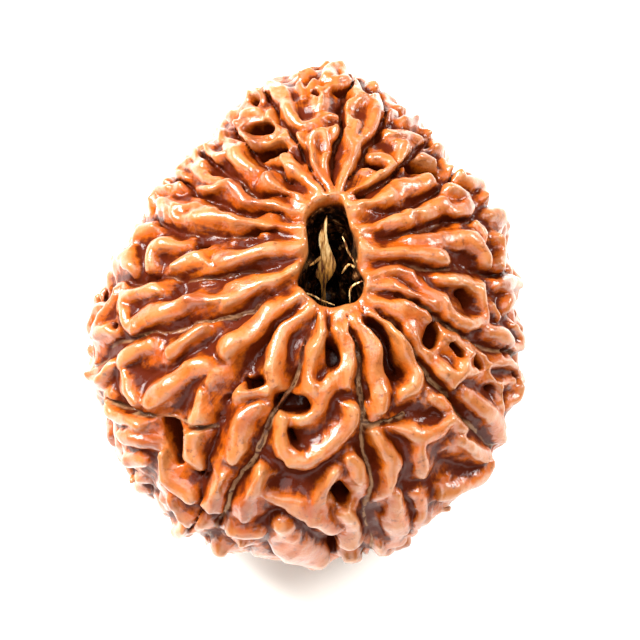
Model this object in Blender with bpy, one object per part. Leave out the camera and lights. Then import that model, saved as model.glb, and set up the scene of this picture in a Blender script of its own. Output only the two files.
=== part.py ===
"""A rudraksha seed: one many-faced stony pip, standing on a small flat spot at its lower pole.

The stone is an egg-shaped body with a slot-shaped canal mouth on top. Seams run from the mouth to the lower
pole and part it into faces, and every face is covered with rounded lumps and ridges. The side that the
photograph shows has each lump where it is there, and the rest is filled by a rule in the same style.
A dry fibre of the old stalk stands in the canal.

Lengths are in millimetres until the meshes are written in metres. +Z runs up the canal, +Y to the back.
"""

import math

import bmesh
import bpy
import numpy as np

MM = 0.001

# The body. Radii run from the canal's axis, one every 30 degrees, counter-clockwise from +X.
PLAN_RADII = (13.9, 14.3, 15.5, 18.9, 16.6, 15.3, 16.9, 18.1, 18.3, 17.3, 16.3, 15.0)
MID_HEIGHT = 12.8
RISE = 13.0
DROP = 13.1
SQUARENESS = 2.25

# The relief.
VALLEY_DEPTH = 1.8
ROOT_DEPTH = 3.3
ROOT_FLARE = 0.8
LEAST_RADIUS = 0.42
SEAM_HALF_WIDTH = 0.8
SEAM_DEPTH = 0.7
SEAM_SEEN_DEPTH = 1.1
SEAM_SWAY = 0.04
SEAM_SWAY_TURNS = 4
SEAM_STEPS = 14
VOXEL = 0.27
SOFTENING = 4
SOFTENING_SHARE = 0.5

# The canal: a slot with a narrow back end and a wide front end, getting smaller downwards.
CANAL_BACK, CANAL_BACK_RADIUS = (-0.05, 2.55), 1.35
CANAL_FRONT, CANAL_FRONT_RADIUS = (0.25, -1.35), 2.2
CANAL_DEPTH = 14.0
CANAL_END_SHARE = 0.35
CANAL_TAPER_POWER = 1.5
CANAL_OVERCUT = 3.0
CANAL_STEPS = 9
CANAL_LEVELS = 7
MOUTH_HEIGHT = MID_HEIGHT + RISE

# The dry fibre in the canal: x, y, z and half width, from its root up.
FIBRE = (
    (-0.1, -0.9, 12.2, 0.14),
    (-0.25, -0.6, 15.5, 0.16),
    (-0.3, -0.1, 18.2, 0.12),
    (-0.3, 0.15, 19.4, 0.12),
    (-0.2, 0.35, 20.4, 0.26),
    (-0.1, 0.6, 21.2, 0.38),
    (0.05, 0.95, 21.8, 0.42),
    (-0.1, 1.4, 22.3, 0.36),
    (-0.3, 1.75, 22.8, 0.27),
    (-0.3, 2.25, 23.3, 0.22),
    (-0.2, 2.75, 23.8, 0.16),
    (-0.1, 3.25, 24.2, 0.1),
)

# The photograph's view: what it looks at, from how high, and how large a millimetre is in it.
VIEW_ELEVATION = math.radians(70)
VIEW_DISTANCE = 180.0
PIXELS_PER_MM = 14.5
VIEW_REACH = 25.0
VIEW_STEPS = 501
NORMAL_STEP = 0.05
PICTURE_CENTRE = (320, 320)
AXIS_PIXEL = (328, 322)

# The seed's outline in the photograph's pixels.
OUTLINE_SEEN = (
    (335, 62), (322, 68), (300, 78), (284, 82), (268, 88), (252, 96), (245, 110), (232, 118),
    (214, 128), (212, 140), (200, 148), (188, 152), (186, 164), (160, 186), (152, 196), (150, 212),
    (140, 222), (118, 248), (113, 262), (112, 280), (97, 298), (92, 320), (86, 332), (98, 350),
    (86, 376), (100, 386), (106, 408), (118, 424), (116, 456), (122, 468), (148, 474), (160, 488),
    (170, 508), (172, 532), (182, 541), (198, 534), (208, 530), (210, 556), (228, 558), (235, 542),
    (262, 541), (285, 556), (310, 567), (326, 570), (340, 557), (348, 562), (360, 560), (363, 550),
    (372, 545), (384, 557), (402, 559), (413, 537), (418, 522), (432, 524), (434, 508), (438, 500),
    (465, 487), (490, 475), (494, 462), (490, 452), (503, 438), (508, 400), (514, 396), (522, 380),
    (516, 356), (522, 340), (514, 318), (512, 298), (524, 288), (520, 276), (508, 264), (508, 240),
    (504, 215), (486, 196), (484, 182), (466, 172), (452, 160), (444, 148), (434, 142), (428, 130),
    (416, 118), (402, 114), (398, 102), (382, 100), (378, 84), (362, 76), (346, 64),
)

# Seams, as points in the photograph's pixels from the canal outwards.
SEAMS_SEEN = (
    ((331, 195), (333, 170), (338, 150), (340, 135), (341, 115), (346, 98), (349, 84)),
    ((343, 197), (350, 183), (358, 168), (365, 155), (373, 143), (379, 128), (381, 112), (383, 100)),
    ((348, 203), (366, 199), (380, 187), (390, 177), (400, 167), (409, 158), (420, 149), (428, 140)),
    ((350, 219), (368, 215), (386, 212), (402, 211), (415, 204), (430, 197), (441, 189), (450, 178),
     (456, 168)),
    ((356, 238), (375, 239), (395, 238), (412, 235), (430, 231), (445, 226), (461, 224), (472, 218),
     (487, 203)),
    ((363, 261), (385, 267), (405, 270), (425, 271), (453, 269), (470, 272), (485, 276), (500, 272)),
    ((368, 297), (392, 299), (412, 306), (430, 318), (445, 328), (460, 338), (476, 346), (495, 353),
     (510, 357)),
    ((362, 305), (378, 314), (396, 330), (409, 347), (418, 364), (428, 379), (440, 391), (450, 403),
     (462, 420), (476, 432), (492, 447)),
    ((350, 318), (354, 335), (357, 355), (357, 380), (358, 397), (361, 415), (364, 434), (367, 462),
     (369, 485), (368, 505), (367, 525), (371, 545)),
    ((318, 312), (308, 338), (297, 368), (286, 393), (276, 411), (268, 425), (262, 441), (255, 456),
     (242, 470), (234, 490), (230, 505), (218, 520), (212, 537)),
    ((301, 303), (277, 330), (260, 355), (244, 377), (231, 396), (221, 415), (217, 438), (213, 468),
     (206, 478)),
    ((297, 283), (275, 298), (255, 313), (236, 318), (215, 323), (190, 325), (166, 333), (134, 339),
     (112, 348)),
    ((298, 258), (280, 270), (262, 276), (240, 278), (227, 279), (187, 280), (160, 279), (133, 283),
     (118, 287)),
    ((303, 237), (280, 238), (260, 237), (230, 239), (205, 238), (185, 234), (166, 228), (158, 222)),
    ((303, 221), (282, 221), (262, 219), (235, 210), (212, 203), (198, 195), (185, 186)),
    ((306, 209), (288, 205), (266, 198), (248, 189), (236, 180), (220, 168), (206, 156)),
    ((311, 202), (298, 190), (283, 175), (269, 168), (256, 157), (243, 142), (234, 130)),
    ((321, 198), (312, 178), (304, 160), (293, 140), (284, 126), (272, 106), (267, 92)),
)
SIDE_SEAMS_SEEN = (
    ((364, 422), (385, 420), (395, 417), (405, 412)),
    ((216, 425), (196, 421), (175, 419), (155, 414), (135, 408), (118, 397)),
)

# Lumps, face by face. Each is a crest: pixel x, pixel y and half width in pixels at every point.
LUMPS_SEEN = (
    # Behind the canal.
    ((327, 191, 2.5), (319, 180, 3.5), (311, 162, 4), (310, 148, 4.5), (315, 134, 4.5), (324, 137, 4.5),
     (330, 146, 4)),
    ((328, 183, 3), (327, 170, 5), (327, 158, 6)),
    ((297, 133, 4), (300, 144, 4.5)),
    ((334, 129, 3), (336, 139, 3.5)),
    ((315, 119, 4), (322, 114, 5), (331, 113, 5), (338, 114, 4)),
    ((283, 92, 5), (285, 104, 7), (291, 117, 7), (301, 123, 6), (310, 121, 5)),
    ((300, 87, 4), (301, 99, 3.5)),
    ((316, 85, 5), (309, 93, 4), (313, 99, 3)),
    ((321, 90, 4), (324, 104, 3.5)),
    ((273, 84, 6), (276, 97, 5)),
    ((303, 76, 5), (313, 74, 6)),
    ((329, 90, 4), (337, 87, 5), (345, 90, 4)),
    ((326, 80, 5), (331, 70, 7), (339, 66, 5), (341, 77, 5), (333, 82, 5)),
    ((332, 194, 3), (340, 187, 5), (348, 175, 6), (353, 161, 6), (354, 147, 6), (346, 134, 5)),
    ((352, 104, 5), (350, 115, 5), (347, 125, 4)),
    ((352, 76, 4.5), (349, 84, 3)),
    ((355, 90, 4), (357, 100, 4)),
    ((360, 96, 3.5), (371, 99, 4), (380, 95, 3.5)),
    ((373, 107, 7), (372, 120, 6), (367, 134, 5), (361, 148, 4)),
    ((357, 125, 5), (355, 137, 4)),
    # Behind, on the right.
    ((344, 198, 3), (356, 195, 4), (368, 188, 5), (378, 179, 6), (387, 171, 5), (391, 164, 5),
     (384, 157, 6), (373, 158, 6), (365, 164, 4)),
    ((387, 113, 5), (397, 112, 5)),
    ((386, 134, 6), (398, 137, 6.5), (412, 139, 6.5), (421, 141, 5)),
    ((406, 123, 4.5), (416, 121, 5)),
    ((428, 134, 5),),
    ((348, 209, 3), (356, 211, 4), (366, 207, 4), (378, 201, 5), (390, 192, 8), (403, 188, 11),
     (417, 187, 11), (428, 182, 8)),
    ((402, 149, 6), (400, 160, 7)),
    ((415, 158, 8), (428, 161, 9)),
    ((430, 143, 5), (438, 146, 6)),
    ((444, 158, 6), (450, 169, 7), (458, 178, 7)),
    ((356, 231, 2.5), (370, 227, 5), (386, 223, 8), (400, 223, 9), (408, 224, 6)),
    ((407, 214, 4), (420, 216, 9), (433, 213, 12), (440, 209, 9)),
    ((446, 192, 6), (457, 195, 7), (468, 199, 8)),
    ((452, 213, 6), (462, 213, 7), (471, 207, 7)),
    ((466, 184, 7), (478, 188, 8), (482, 199, 6)),
    # On the right.
    ((359, 246, 3), (374, 252, 6), (391, 256, 8), (408, 257, 9), (425, 257, 10), (440, 258, 9)),
    ((412, 243, 6), (430, 241, 8), (446, 241, 11), (461, 244, 14), (474, 252, 13), (483, 261, 9)),
    ((475, 223, 5), (480, 231, 7), (484, 239, 5)),
    ((488, 215, 7), (498, 219, 7)),
    ((496, 238, 6), (502, 250, 6), (499, 263, 6)),
    ((369, 279, 4), (384, 275, 5), (400, 276, 5.5), (416, 281, 7), (430, 291, 9), (441, 302, 10),
     (447, 313, 7)),
    ((368, 290, 4), (382, 291, 7), (398, 293, 8), (414, 300, 9), (430, 307, 9)),
    ((441, 277, 5), (454, 281, 9), (468, 287, 10), (482, 286, 6)),
    ((477, 293, 8), (483, 305, 7), (481, 317, 8), (470, 324, 8.5), (459, 321, 8), (450, 313, 5)),
    ((494, 303, 5), (497, 314, 6)),
    ((496, 280, 6), (508, 284, 9), (518, 286, 5)),
    ((505, 297, 8), (507, 308, 5)),
    ((487, 330, 9), (499, 335, 9), (509, 343, 7)),
    ((515, 330, 4), (520, 343, 5), (514, 353, 5)),
    # In front, on the right.
    ((370, 302, 4), (386, 308, 7), (400, 317, 11), (410, 330, 12), (416, 344, 9), (421, 354, 6)),
    ((404, 309, 6), (418, 314, 6), (430, 322, 6), (436, 334, 5), (437, 346, 5), (432, 354, 4)),
    ((428, 357, 7), (439, 367, 10), (449, 378, 9), (452, 386, 5)),
    ((444, 335, 4), (454, 342, 5), (460, 352, 6), (462, 366, 8), (456, 376, 8)),
    ((470, 351, 4), (481, 355, 6), (484, 363, 6), (476, 371, 7), (467, 373, 6)),
    ((464, 396, 7), (476, 404, 9), (487, 415, 10), (496, 428, 9), (500, 440, 6)),
    ((490, 362, 4), (504, 363, 5), (516, 370, 5), (520, 381, 4)),
    ((519, 381, 3), (508, 384, 3), (498, 384, 3), (491, 376, 3), (489, 366, 3)),
    ((499, 386, 3), (498, 398, 3), (500, 410, 4), (504, 424, 5)),
    ((516, 386, 4), (515, 397, 4), (507, 405, 4)),
    ((358, 318, 5), (366, 334, 9), (372, 349, 11), (374, 363, 10), (378, 378, 12), (380, 393, 12),
     (379, 406, 7)),
    ((374, 314, 3), (387, 328, 6), (398, 343, 8), (407, 358, 8), (414, 373, 8), (413, 386, 8), (404, 392, 8)),
    ((430, 397, 6), (440, 405, 9), (447, 417, 9), (457, 426, 6), (466, 430, 3)),
    ((397, 426, 5), (408, 428, 8), (420, 435, 10), (433, 432, 9), (443, 422, 8)),
    ((418, 450, 7), (421, 461, 10), (424, 472, 8)),
    ((374, 431, 4), (382, 443, 8), (389, 456, 10), (391, 468, 9), (390, 481, 6), (390, 491, 3)),
    ((397, 493, 9), (394, 507, 15), (393, 522, 16), (396, 535, 12)),
    ((417, 496, 5), (419, 511, 7), (413, 529, 8)),
    ((427, 514, 6), (427, 521, 6)),
    ((380, 545, 6), (391, 549, 9), (405, 545, 8)),
    ((457, 440, 6), (468, 447, 9), (480, 452, 8), (489, 455, 4)),
    ((436, 492, 8), (452, 484, 12), (469, 473, 13), (485, 465, 9)),
    # In front.
    ((321, 318, 4), (320, 334, 5), (316, 350, 6), (310, 366, 7), (308, 382, 8), (314, 391, 8)),
    ((345, 308, 6), (339, 320, 7), (342, 337, 6), (344, 354, 6), (343, 372, 8), (334, 388, 11),
     (323, 402, 10), (310, 415, 9), (303, 419, 6)),
    ((349, 312, 6), (352, 328, 5), (352, 347, 4), (352, 366, 4), (350, 386, 5)),
    ((349, 408, 6), (350, 419, 8), (341, 429, 8), (330, 439, 9), (318, 447, 10)),
    ((284, 417, 6), (281, 430, 8), (281, 446, 10), (292, 458, 10), (307, 457, 11), (319, 448, 10)),
    ((348, 459, 6), (354, 469, 9), (358, 480, 7)),
    ((270, 497, 6), (290, 502, 9), (308, 509, 9), (321, 518, 7)),
    ((334, 473, 5), (325, 487, 6), (318, 500, 8), (322, 514, 9), (331, 528, 9)),
    ((343, 511, 9), (348, 524, 14), (350, 535, 13)),
    ((283, 518, 17), (299, 536, 26), (315, 548, 20)),
    ((352, 555, 8),),
    ((262, 474, 5), (257, 487, 7), (250, 502, 6), (244, 516, 6)),
    ((229, 530, 7), (245, 533, 8), (262, 532, 8)),
    ((221, 547, 10),),
    ((243, 545, 4),),
    # In front, on the left.
    ((311, 312, 4), (299, 320, 7), (286, 330, 9), (277, 343, 12), (274, 356, 11), (274, 370, 8),
     (275, 384, 6)),
    ((244, 395, 6), (256, 394, 6), (268, 392, 6)),
    ((257, 409, 7), (247, 418, 11), (240, 432, 12), (234, 446, 9), (229, 459, 5)),
    ((222, 477, 4), (215, 488, 7), (211, 499, 7), (211, 509, 4)),
    ((163, 455, 6), (168, 470, 8), (180, 484, 9), (193, 495, 8), (205, 502, 6)),
    ((172, 498, 7), (180, 510, 9), (192, 519, 9), (203, 524, 7)),
    ((180, 530, 9), (188, 533, 8)),
    ((300, 296, 4), (286, 304, 7), (272, 313, 9), (260, 325, 10), (247, 338, 10), (234, 345, 11),
     (225, 352, 8)),
    ((205, 331, 6), (195, 338, 8), (182, 345, 10), (173, 350, 8)),
    ((148, 346, 6), (138, 351, 9), (128, 358, 10), (122, 366, 7)),
    ((112, 367, 8), (105, 374, 8), (95, 375, 5), (89, 375, 3.5)),
    ((126, 378, 7), (129, 391, 9), (136, 401, 7)),
    ((206, 368, 7), (191, 372, 9), (176, 380, 11), (163, 391, 12), (150, 401, 9)),
    ((217, 372, 6), (212, 382, 6)),
    ((204, 396, 7), (200, 410, 6), (197, 424, 7), (196, 438, 11), (197, 451, 13), (202, 462, 10)),
    ((112, 402, 6), (114, 413, 7), (128, 420, 6), (142, 423, 5)),
    ((126, 434, 7), (140, 437, 8), (155, 443, 8)),
    ((128, 458, 10), (143, 458, 11)),
    # On the left.
    ((298, 264, 3), (284, 273, 6), (268, 281, 9), (250, 290, 12), (234, 297, 13), (226, 300, 10)),
    ((217, 298, 4), (204, 302, 7), (189, 306, 10), (172, 311, 11), (155, 316, 13), (141, 322, 12),
     (134, 331, 6)),
    ((121, 293, 5), (135, 291, 7), (150, 293, 8), (160, 293, 5)),
    ((120, 299, 5), (121, 311, 6), (127, 322, 6)),
    ((113, 296, 5), (108, 310, 6), (99, 322, 6), (93, 334, 5)),
    ((101, 333, 8), (113, 333, 6)),
    ((300, 244, 3), (284, 250, 6), (266, 256, 9), (247, 261, 11), (229, 260, 12), (218, 260, 9)),
    ((208, 264, 3), (196, 262, 6), (182, 264, 8), (173, 267, 6)),
    ((151, 265, 8), (152, 252, 8), (165, 245, 9), (179, 245, 7)),
    ((132, 267, 9), (134, 253, 9)),
    ((116, 255, 4), (125, 259, 6)),
    ((132, 241, 5), (141, 233, 6), (153, 226, 5)),
    # Behind, on the left.
    ((302, 229, 2.5), (281, 228, 4), (263, 228, 5), (246, 224, 6), (230, 220, 7), (214, 219, 8),
     (198, 219, 9), (182, 217, 9), (173, 213, 7)),
    ((206, 210, 2.5), (193, 205, 4), (180, 205, 5), (172, 208, 5)),
    ((153, 198, 4), (161, 190, 5), (171, 187, 6)),
    ((162, 204, 6), (163, 215, 5)),
    ((304, 214, 2), (286, 212, 4), (268, 208, 6), (253, 201, 7), (240, 192, 7), (226, 187, 7),
     (212, 190, 7), (199, 187, 5)),
    ((187, 166, 5), (197, 171, 6), (208, 175, 6), (220, 178, 4)),
    ((187, 156, 5), (196, 158, 6), (206, 163, 5)),
    ((181, 160, 3), (180, 172, 4), (184, 180, 4)),
    ((307, 207, 2.5), (295, 201, 4), (283, 194, 6), (273, 185, 8), (267, 178, 6)),
    ((227, 146, 5), (235, 154, 8), (243, 163, 8), (251, 173, 6)),
    ((215, 130, 3), (221, 137, 4), (232, 139, 4)),
    ((207, 149, 4), (214, 154, 5), (224, 157, 5)),
    ((233, 122, 4),),
    ((319, 198, 2.5), (307, 184, 4.5), (294, 170, 7), (284, 161, 7)),
    ((254, 122, 4), (243, 127, 5), (242, 138, 5), (252, 144, 5.5), (265, 144, 5.5), (277, 142, 5.5),
     (284, 136, 5), (285, 129, 4)),
    ((265, 110, 3), (266, 119, 6), (268, 126, 6)),
    ((251, 89, 4), (257, 93, 5), (264, 92, 4)),
    ((241, 115, 4), (251, 113, 4)),
)

# Lumps of the unseen side, which a rule places in rows downwards. Those that would stick out of
# the photograph's outline lie deeper.
HIDDEN_SEED = 18
HIDDEN_SPACING = 2.5
HIDDEN_SPACING_SHARE = (0.9, 1.1)
HIDDEN_SHIFT = 0.12
HIDDEN_RISE = 0.05
HIDDEN_END = math.radians(-86)
HIDDEN_WIDTH_SHARE = 0.42
HIDDEN_TAPER = (0.8, 1.0, 0.85)
HIDDEN_ROOM_SHARE = 0.6
HIDDEN_ROOM = 0.3
HIDDEN_START = math.radians(34)
HIDDEN_RADIUS = (0.6, 1.1)
HIDDEN_HALF_LENGTH = (0.4, 1.8)
HIDDEN_TURN = 0.9
HIDDEN_BEND = 0.4
HIDDEN_FACING = 0.38
EDGE_SINK = 1.0
POLE_BOSS_RADIUS = 4.0

SEED_TRIANGLES = 11500
CORE_LEVEL = 6
BALL_LEVEL = 2
GROUND_CUTTER_SIZE = 60.0
STONE_COLOUR, STONE_ROUGHNESS = (0.42, 0.14, 0.045, 1.0), 0.3
FIBRE_COLOUR, FIBRE_ROUGHNESS = (0.55, 0.36, 0.17, 1.0), 0.85
FIBRE_BEVEL_STEPS = 3


def plan_radius(angle):
    """The body's radius at the middle height, going smoothly through PLAN_RADII."""
    count = len(PLAN_RADII)
    waves = np.fft.rfft(PLAN_RADII) / count
    total = np.full_like(angle, waves[0].real)
    for turn in range(1, len(waves)):
        weight = 1 if turn == count // 2 else 2
        total += weight * (waves[turn].real * np.cos(turn * angle) - waves[turn].imag * np.sin(turn * angle))
    return total


def gauge(x, y, z):
    """1 on the body's outer surface, less inside, more outside."""
    across = np.hypot(x, y) / plan_radius(np.arctan2(y, x))
    height = z - MID_HEIGHT
    along = np.abs(height) / np.where(height > 0, RISE, DROP)
    return (across**SQUARENESS + along**SQUARENESS) ** (1 / SQUARENESS)


def gauge_at(points):
    return gauge(*np.moveaxis(np.asarray(points, float), -1, 0))


def onto_body(points):
    """Points moved to the outer surface, on the line from the body's middle."""
    middle = np.array((0, 0, MID_HEIGHT))
    return middle + (points - middle) / gauge_at(points)[..., None]


def slopes_at(points):
    """How fast the gauge rises along each axis."""
    steps = NORMAL_STEP * np.eye(3)
    rises = [gauge_at(points + step) - gauge_at(points - step) for step in steps]
    return np.stack(rises, axis=-1) / (2 * NORMAL_STEP)


def outward(points):
    """The outer surface's normals."""
    slopes = slopes_at(points)
    return slopes / np.linalg.norm(slopes, axis=-1, keepdims=True)


def depth_under(points):
    """How deep under the outer surface these points are."""
    return (1 - gauge_at(points)) / np.linalg.norm(slopes_at(points), axis=-1)


def view_axes():
    """The eye, and the photograph's right, up and forward directions."""
    sine, cosine = math.sin(VIEW_ELEVATION), math.cos(VIEW_ELEVATION)
    right, up, forward = np.array((1, 0, 0)), np.array((0, sine, cosine)), np.array((0, cosine, -sine))
    beside = (PICTURE_CENTRE[0] - AXIS_PIXEL[0]) / PIXELS_PER_MM
    above = (AXIS_PIXEL[1] - PICTURE_CENTRE[1]) / PIXELS_PER_MM
    target = np.array((0, 0, MID_HEIGHT)) + beside * right + above * up
    return target - VIEW_DISTANCE * forward, right, up, forward


def seen(pixels, deep):
    """The outer surface's points over what the photograph shows at these pixels, so deep under it."""
    eye, right, up, forward = view_axes()
    pixels = np.asarray(pixels, float)
    deep = np.broadcast_to(deep, len(pixels))
    offset = (pixels - PICTURE_CENTRE) / (PIXELS_PER_MM * VIEW_DISTANCE)
    rays = forward + offset[:, :1] * right - offset[:, 1:2] * up
    depths = np.linspace(VIEW_DISTANCE - VIEW_REACH, VIEW_DISTANCE + VIEW_REACH, VIEW_STEPS)
    under = depth_under(eye + depths[None, :, None] * rays[:, None, :])
    reached = under > deep[:, None]
    hit = np.where(reached.any(axis=1), reached.argmax(axis=1), under.argmax(axis=1))
    places = eye + depths[hit][:, None] * rays
    return onto_body(places + deep[:, None] * outward(places))


def outline_room(points):
    """How far inside the photograph's outline these points are seen, negative outside."""
    eye, right, up, _ = view_axes()
    scale = 1 / pixel_size(points)
    pixels = PICTURE_CENTRE + np.stack([(points - eye) @ right, (eye - points) @ up], axis=1) * scale[:, None]
    corners = np.array(OUTLINE_SEEN, float)
    nearest = np.full(len(pixels), np.inf)
    inside = np.zeros(len(pixels), bool)
    for start, end in zip(corners, np.roll(corners, -1, axis=0)):
        way = end - start
        share = np.clip((pixels - start) @ way / (way @ way), 0, 1)
        nearest = np.minimum(nearest, np.linalg.norm(pixels - start - share[:, None] * way, axis=1))
        level = (start[1] > pixels[:, 1]) != (end[1] > pixels[:, 1])
        across = (pixels[:, 0] - start[0]) * way[1] - (pixels[:, 1] - start[1]) * way[0]
        inside ^= level & ((across < 0) == (way[1] > 0))
    return np.where(inside, nearest, -nearest) / scale


def pixel_size(points):
    """Millimetres to a pixel at these points."""
    eye, _, _, forward = view_axes()
    return (points - eye) @ forward / (PIXELS_PER_MM * VIEW_DISTANCE)


def angles_of(points):
    """Azimuth and latitude about the body's middle."""
    x, y, z = np.moveaxis(points, -1, 0)
    return np.arctan2(y, x), np.arctan2(z - MID_HEIGHT, np.hypot(x, y))


def at_angles(azimuth, latitude):
    azimuth, latitude = np.broadcast_arrays(azimuth, latitude)
    level = np.cos(latitude)
    way = np.stack([level * np.cos(azimuth), level * np.sin(azimuth), np.sin(latitude)], axis=-1)
    return onto_body(np.array((0, 0, MID_HEIGHT)) + way)


def seam_lines():
    """Each seam as points on the outer surface, from the canal to the lower pole."""
    lines = []
    for pixels in SEAMS_SEEN:
        shown = seen(pixels, SEAM_SEEN_DEPTH)
        azimuth, latitude = angles_of(shown[-1])
        down = np.linspace(latitude, -math.pi / 2, SEAM_STEPS)[1:]
        sway = SEAM_SWAY * np.sin(SEAM_SWAY_TURNS * down)
        lines.append(np.vstack([shown, at_angles(azimuth + sway, down)]))
    return lines


def side_seam_lines():
    return [seen(pixels, SEAM_SEEN_DEPTH) for pixels in SIDE_SEAMS_SEEN]


def shown_lumps():
    """Each seen lump as (points, radii)."""
    lumps = []
    for crest in LUMPS_SEEN:
        crest = np.array(crest, float)
        points = seen(crest[:, :2], crest[:, 2] / PIXELS_PER_MM)
        lumps.append((points, crest[:, 2] * pixel_size(points)))
    return lumps


def hidden_lumps(taken):
    """Lumps on the side that the photograph doesn't show, in rows down each face."""
    draw = np.random.default_rng(HIDDEN_SEED)
    eye = view_axes()[0]
    taken_points = np.vstack([points for points, _ in taken])
    taken_radii = np.concatenate([radii for _, radii in taken])
    borders = sorted(float(angles_of(line)[0][-2]) for line in seam_lines())
    borders.append(borders[0] + 2 * math.pi)
    lumps = []
    for start, end in zip(borders, borders[1:]):
        latitude = HIDDEN_START
        while latitude > HIDDEN_END:
            level = at_angles((start + end) / 2, latitude)
            width = (end - start) * math.hypot(level[0], level[1])
            across = max(1, round(width / HIDDEN_SPACING))
            for place in range(across):
                share = (place + 0.5 + draw.uniform(-HIDDEN_SHIFT, HIDDEN_SHIFT)) / across
                azimuth = start + share * (end - start)
                height = latitude + draw.uniform(-HIDDEN_RISE, HIDDEN_RISE)
                turn = draw.uniform(-HIDDEN_TURN, HIDDEN_TURN)
                half = draw.uniform(*HIDDEN_HALF_LENGTH)
                bend = draw.uniform(-HIDDEN_BEND, HIDDEN_BEND) / math.hypot(level[0], level[1])
                radius = min(draw.uniform(*HIDDEN_RADIUS), HIDDEN_WIDTH_SHARE * width / across)
                spread = half / math.hypot(level[0], level[1]) * math.sin(turn)
                rise = half / np.linalg.norm(level - (0, 0, MID_HEIGHT)) * math.cos(turn)
                ends = at_angles(
                    np.array((azimuth - spread, azimuth + bend, azimuth + spread)),
                    np.array((height + rise, height, height - rise)),
                )
                toward = eye - ends[1]
                facing = outward(ends[1:2])[0] @ toward / np.linalg.norm(toward)
                room = (np.linalg.norm(taken_points[:, None] - ends, axis=2) - taken_radii[:, None]).min()
                radii = radius * np.array(HIDDEN_TAPER)
                short = radii - outline_room(ends - radii[:, None] * outward(ends))
                ends -= np.clip(short, 0, EDGE_SINK)[:, None] * outward(ends)
                if facing < HIDDEN_FACING and room > HIDDEN_ROOM_SHARE * radius + HIDDEN_ROOM:
                    lumps.append((ends, radii))
            row = HIDDEN_SPACING * draw.uniform(*HIDDEN_SPACING_SHARE)
            latitude -= row / np.linalg.norm(level - (0, 0, MID_HEIGHT))
    lumps.append((at_angles(np.zeros(1), np.full(1, -math.pi / 2)), np.array((POLE_BOSS_RADIUS,))))
    return lumps


def unit_ball():
    shape = bmesh.new()
    bmesh.ops.create_icosphere(shape, subdivisions=BALL_LEVEL, radius=1.0)
    corners = np.array([vert.co for vert in shape.verts])
    shape.free()
    return corners


BALL = unit_ball()


def ball_points(centre, radius):
    """The corners of a small ball."""
    return BALL * radius + centre


def rounded_ridge(points, radii):
    """Closed hulls, one for each stretch of the crest, which overlap: round on top and wider at the root."""
    normals = outward(points)
    radii = np.maximum(radii, LEAST_RADIUS)
    tops = points - radii[:, None] * normals
    roots = points - ROOT_DEPTH * normals
    root_radii = np.minimum(radii + ROOT_FLARE, ROOT_DEPTH)
    slices = [
        np.vstack([ball_points(tops[i], radii[i]), ball_points(roots[i], root_radii[i])])
        for i in range(len(points))
    ]
    if len(slices) == 1:
        return [hull_of(slices[0])]
    return [hull_of(np.vstack(pair)) for pair in zip(slices, slices[1:])]


def hull_of(points):
    """The convex hull of some points, as corners and faces."""
    shape = bmesh.new()
    for point in points:
        shape.verts.new(point)
    made = bmesh.ops.convex_hull(shape, input=shape.verts)
    bmesh.ops.delete(shape, geom=list(set(made["geom_interior"] + made["geom_unused"])), context="VERTS")
    bmesh.ops.recalc_face_normals(shape, faces=shape.faces)
    shape.verts.index_update()
    corners = np.array([vert.co for vert in shape.verts])
    faces = [[vert.index for vert in face.verts] for face in shape.faces]
    shape.free()
    return corners, faces


def near_line(points, lines):
    """Each point's distance to the nearest of the lines, in the straight line through space."""
    nearest = np.full(len(points), np.inf)
    for line in lines:
        for start, end in zip(line, line[1:]):
            way = end - start
            share = np.clip((points - start) @ way / max(way @ way, 1e-9), 0, 1)
            nearest = np.minimum(nearest, np.linalg.norm(points - start - share[:, None] * way, axis=1))
    return nearest


def core():
    """The body at the depth of its valleys, and deeper along the seams."""
    shape = bmesh.new()
    bmesh.ops.create_icosphere(shape, subdivisions=CORE_LEVEL, radius=1.0)
    ways = np.array([vert.co for vert in shape.verts])
    faces = [[vert.index for vert in face.verts] for face in shape.faces]
    shape.free()
    skin = onto_body(ways + (0, 0, MID_HEIGHT))
    lines = seam_lines() + side_seam_lines()
    groove = SEAM_DEPTH * np.exp(-((near_line(skin, lines) / SEAM_HALF_WIDTH) ** 2))
    return skin - (VALLEY_DEPTH + groove)[:, None] * outward(skin), faces


def joined(shapes):
    """Several closed shapes as one list of corners and one of faces."""
    corners, faces, count = [], [], 0
    for points, polygons in shapes:
        corners.append(points)
        faces += [[count + index for index in polygon] for polygon in polygons]
        count += len(points)
    return np.vstack(corners), faces


def material(name, colour, roughness):
    made = bpy.data.materials.new(name)
    made.use_nodes = True
    shader = made.node_tree.nodes["Principled BSDF"]
    shader.inputs["Base Color"].default_value = colour
    shader.inputs["Roughness"].default_value = roughness
    shader.inputs["Metallic"].default_value = 0.0
    made.diffuse_color = colour
    return made


def mesh_object(name, points, faces):
    mesh = bpy.data.meshes.new(name)
    mesh.from_pydata((np.asarray(points) * MM).tolist(), [], faces)
    mesh.validate()
    made = bpy.data.objects.new(name, mesh)
    bpy.context.scene.collection.objects.link(made)
    return made


def keep_largest(obj):
    """Leaves only the largest connected surface of a mesh, so that no closed hollow stays inside."""
    shape = bmesh.new()
    shape.from_mesh(obj.data)
    left = set(shape.verts)
    largest = set()
    while left:
        start = left.pop()
        island, edge = {start}, [start]
        while edge:
            vert = edge.pop()
            for link in vert.link_edges:
                other = link.other_vert(vert)
                if other not in island:
                    island.add(other)
                    edge.append(other)
        left -= island
        if len(island) > len(largest):
            largest = island
    bmesh.ops.delete(shape, geom=[vert for vert in shape.verts if vert not in largest], context="VERTS")
    shape.to_mesh(obj.data)
    shape.free()


def made_real(obj):
    """Applies the object's modifiers to its mesh."""
    bpy.context.view_layer.update()
    result = bpy.data.meshes.new_from_object(obj.evaluated_get(bpy.context.evaluated_depsgraph_get()))
    obj.modifiers.clear()
    obj.data = result


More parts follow.
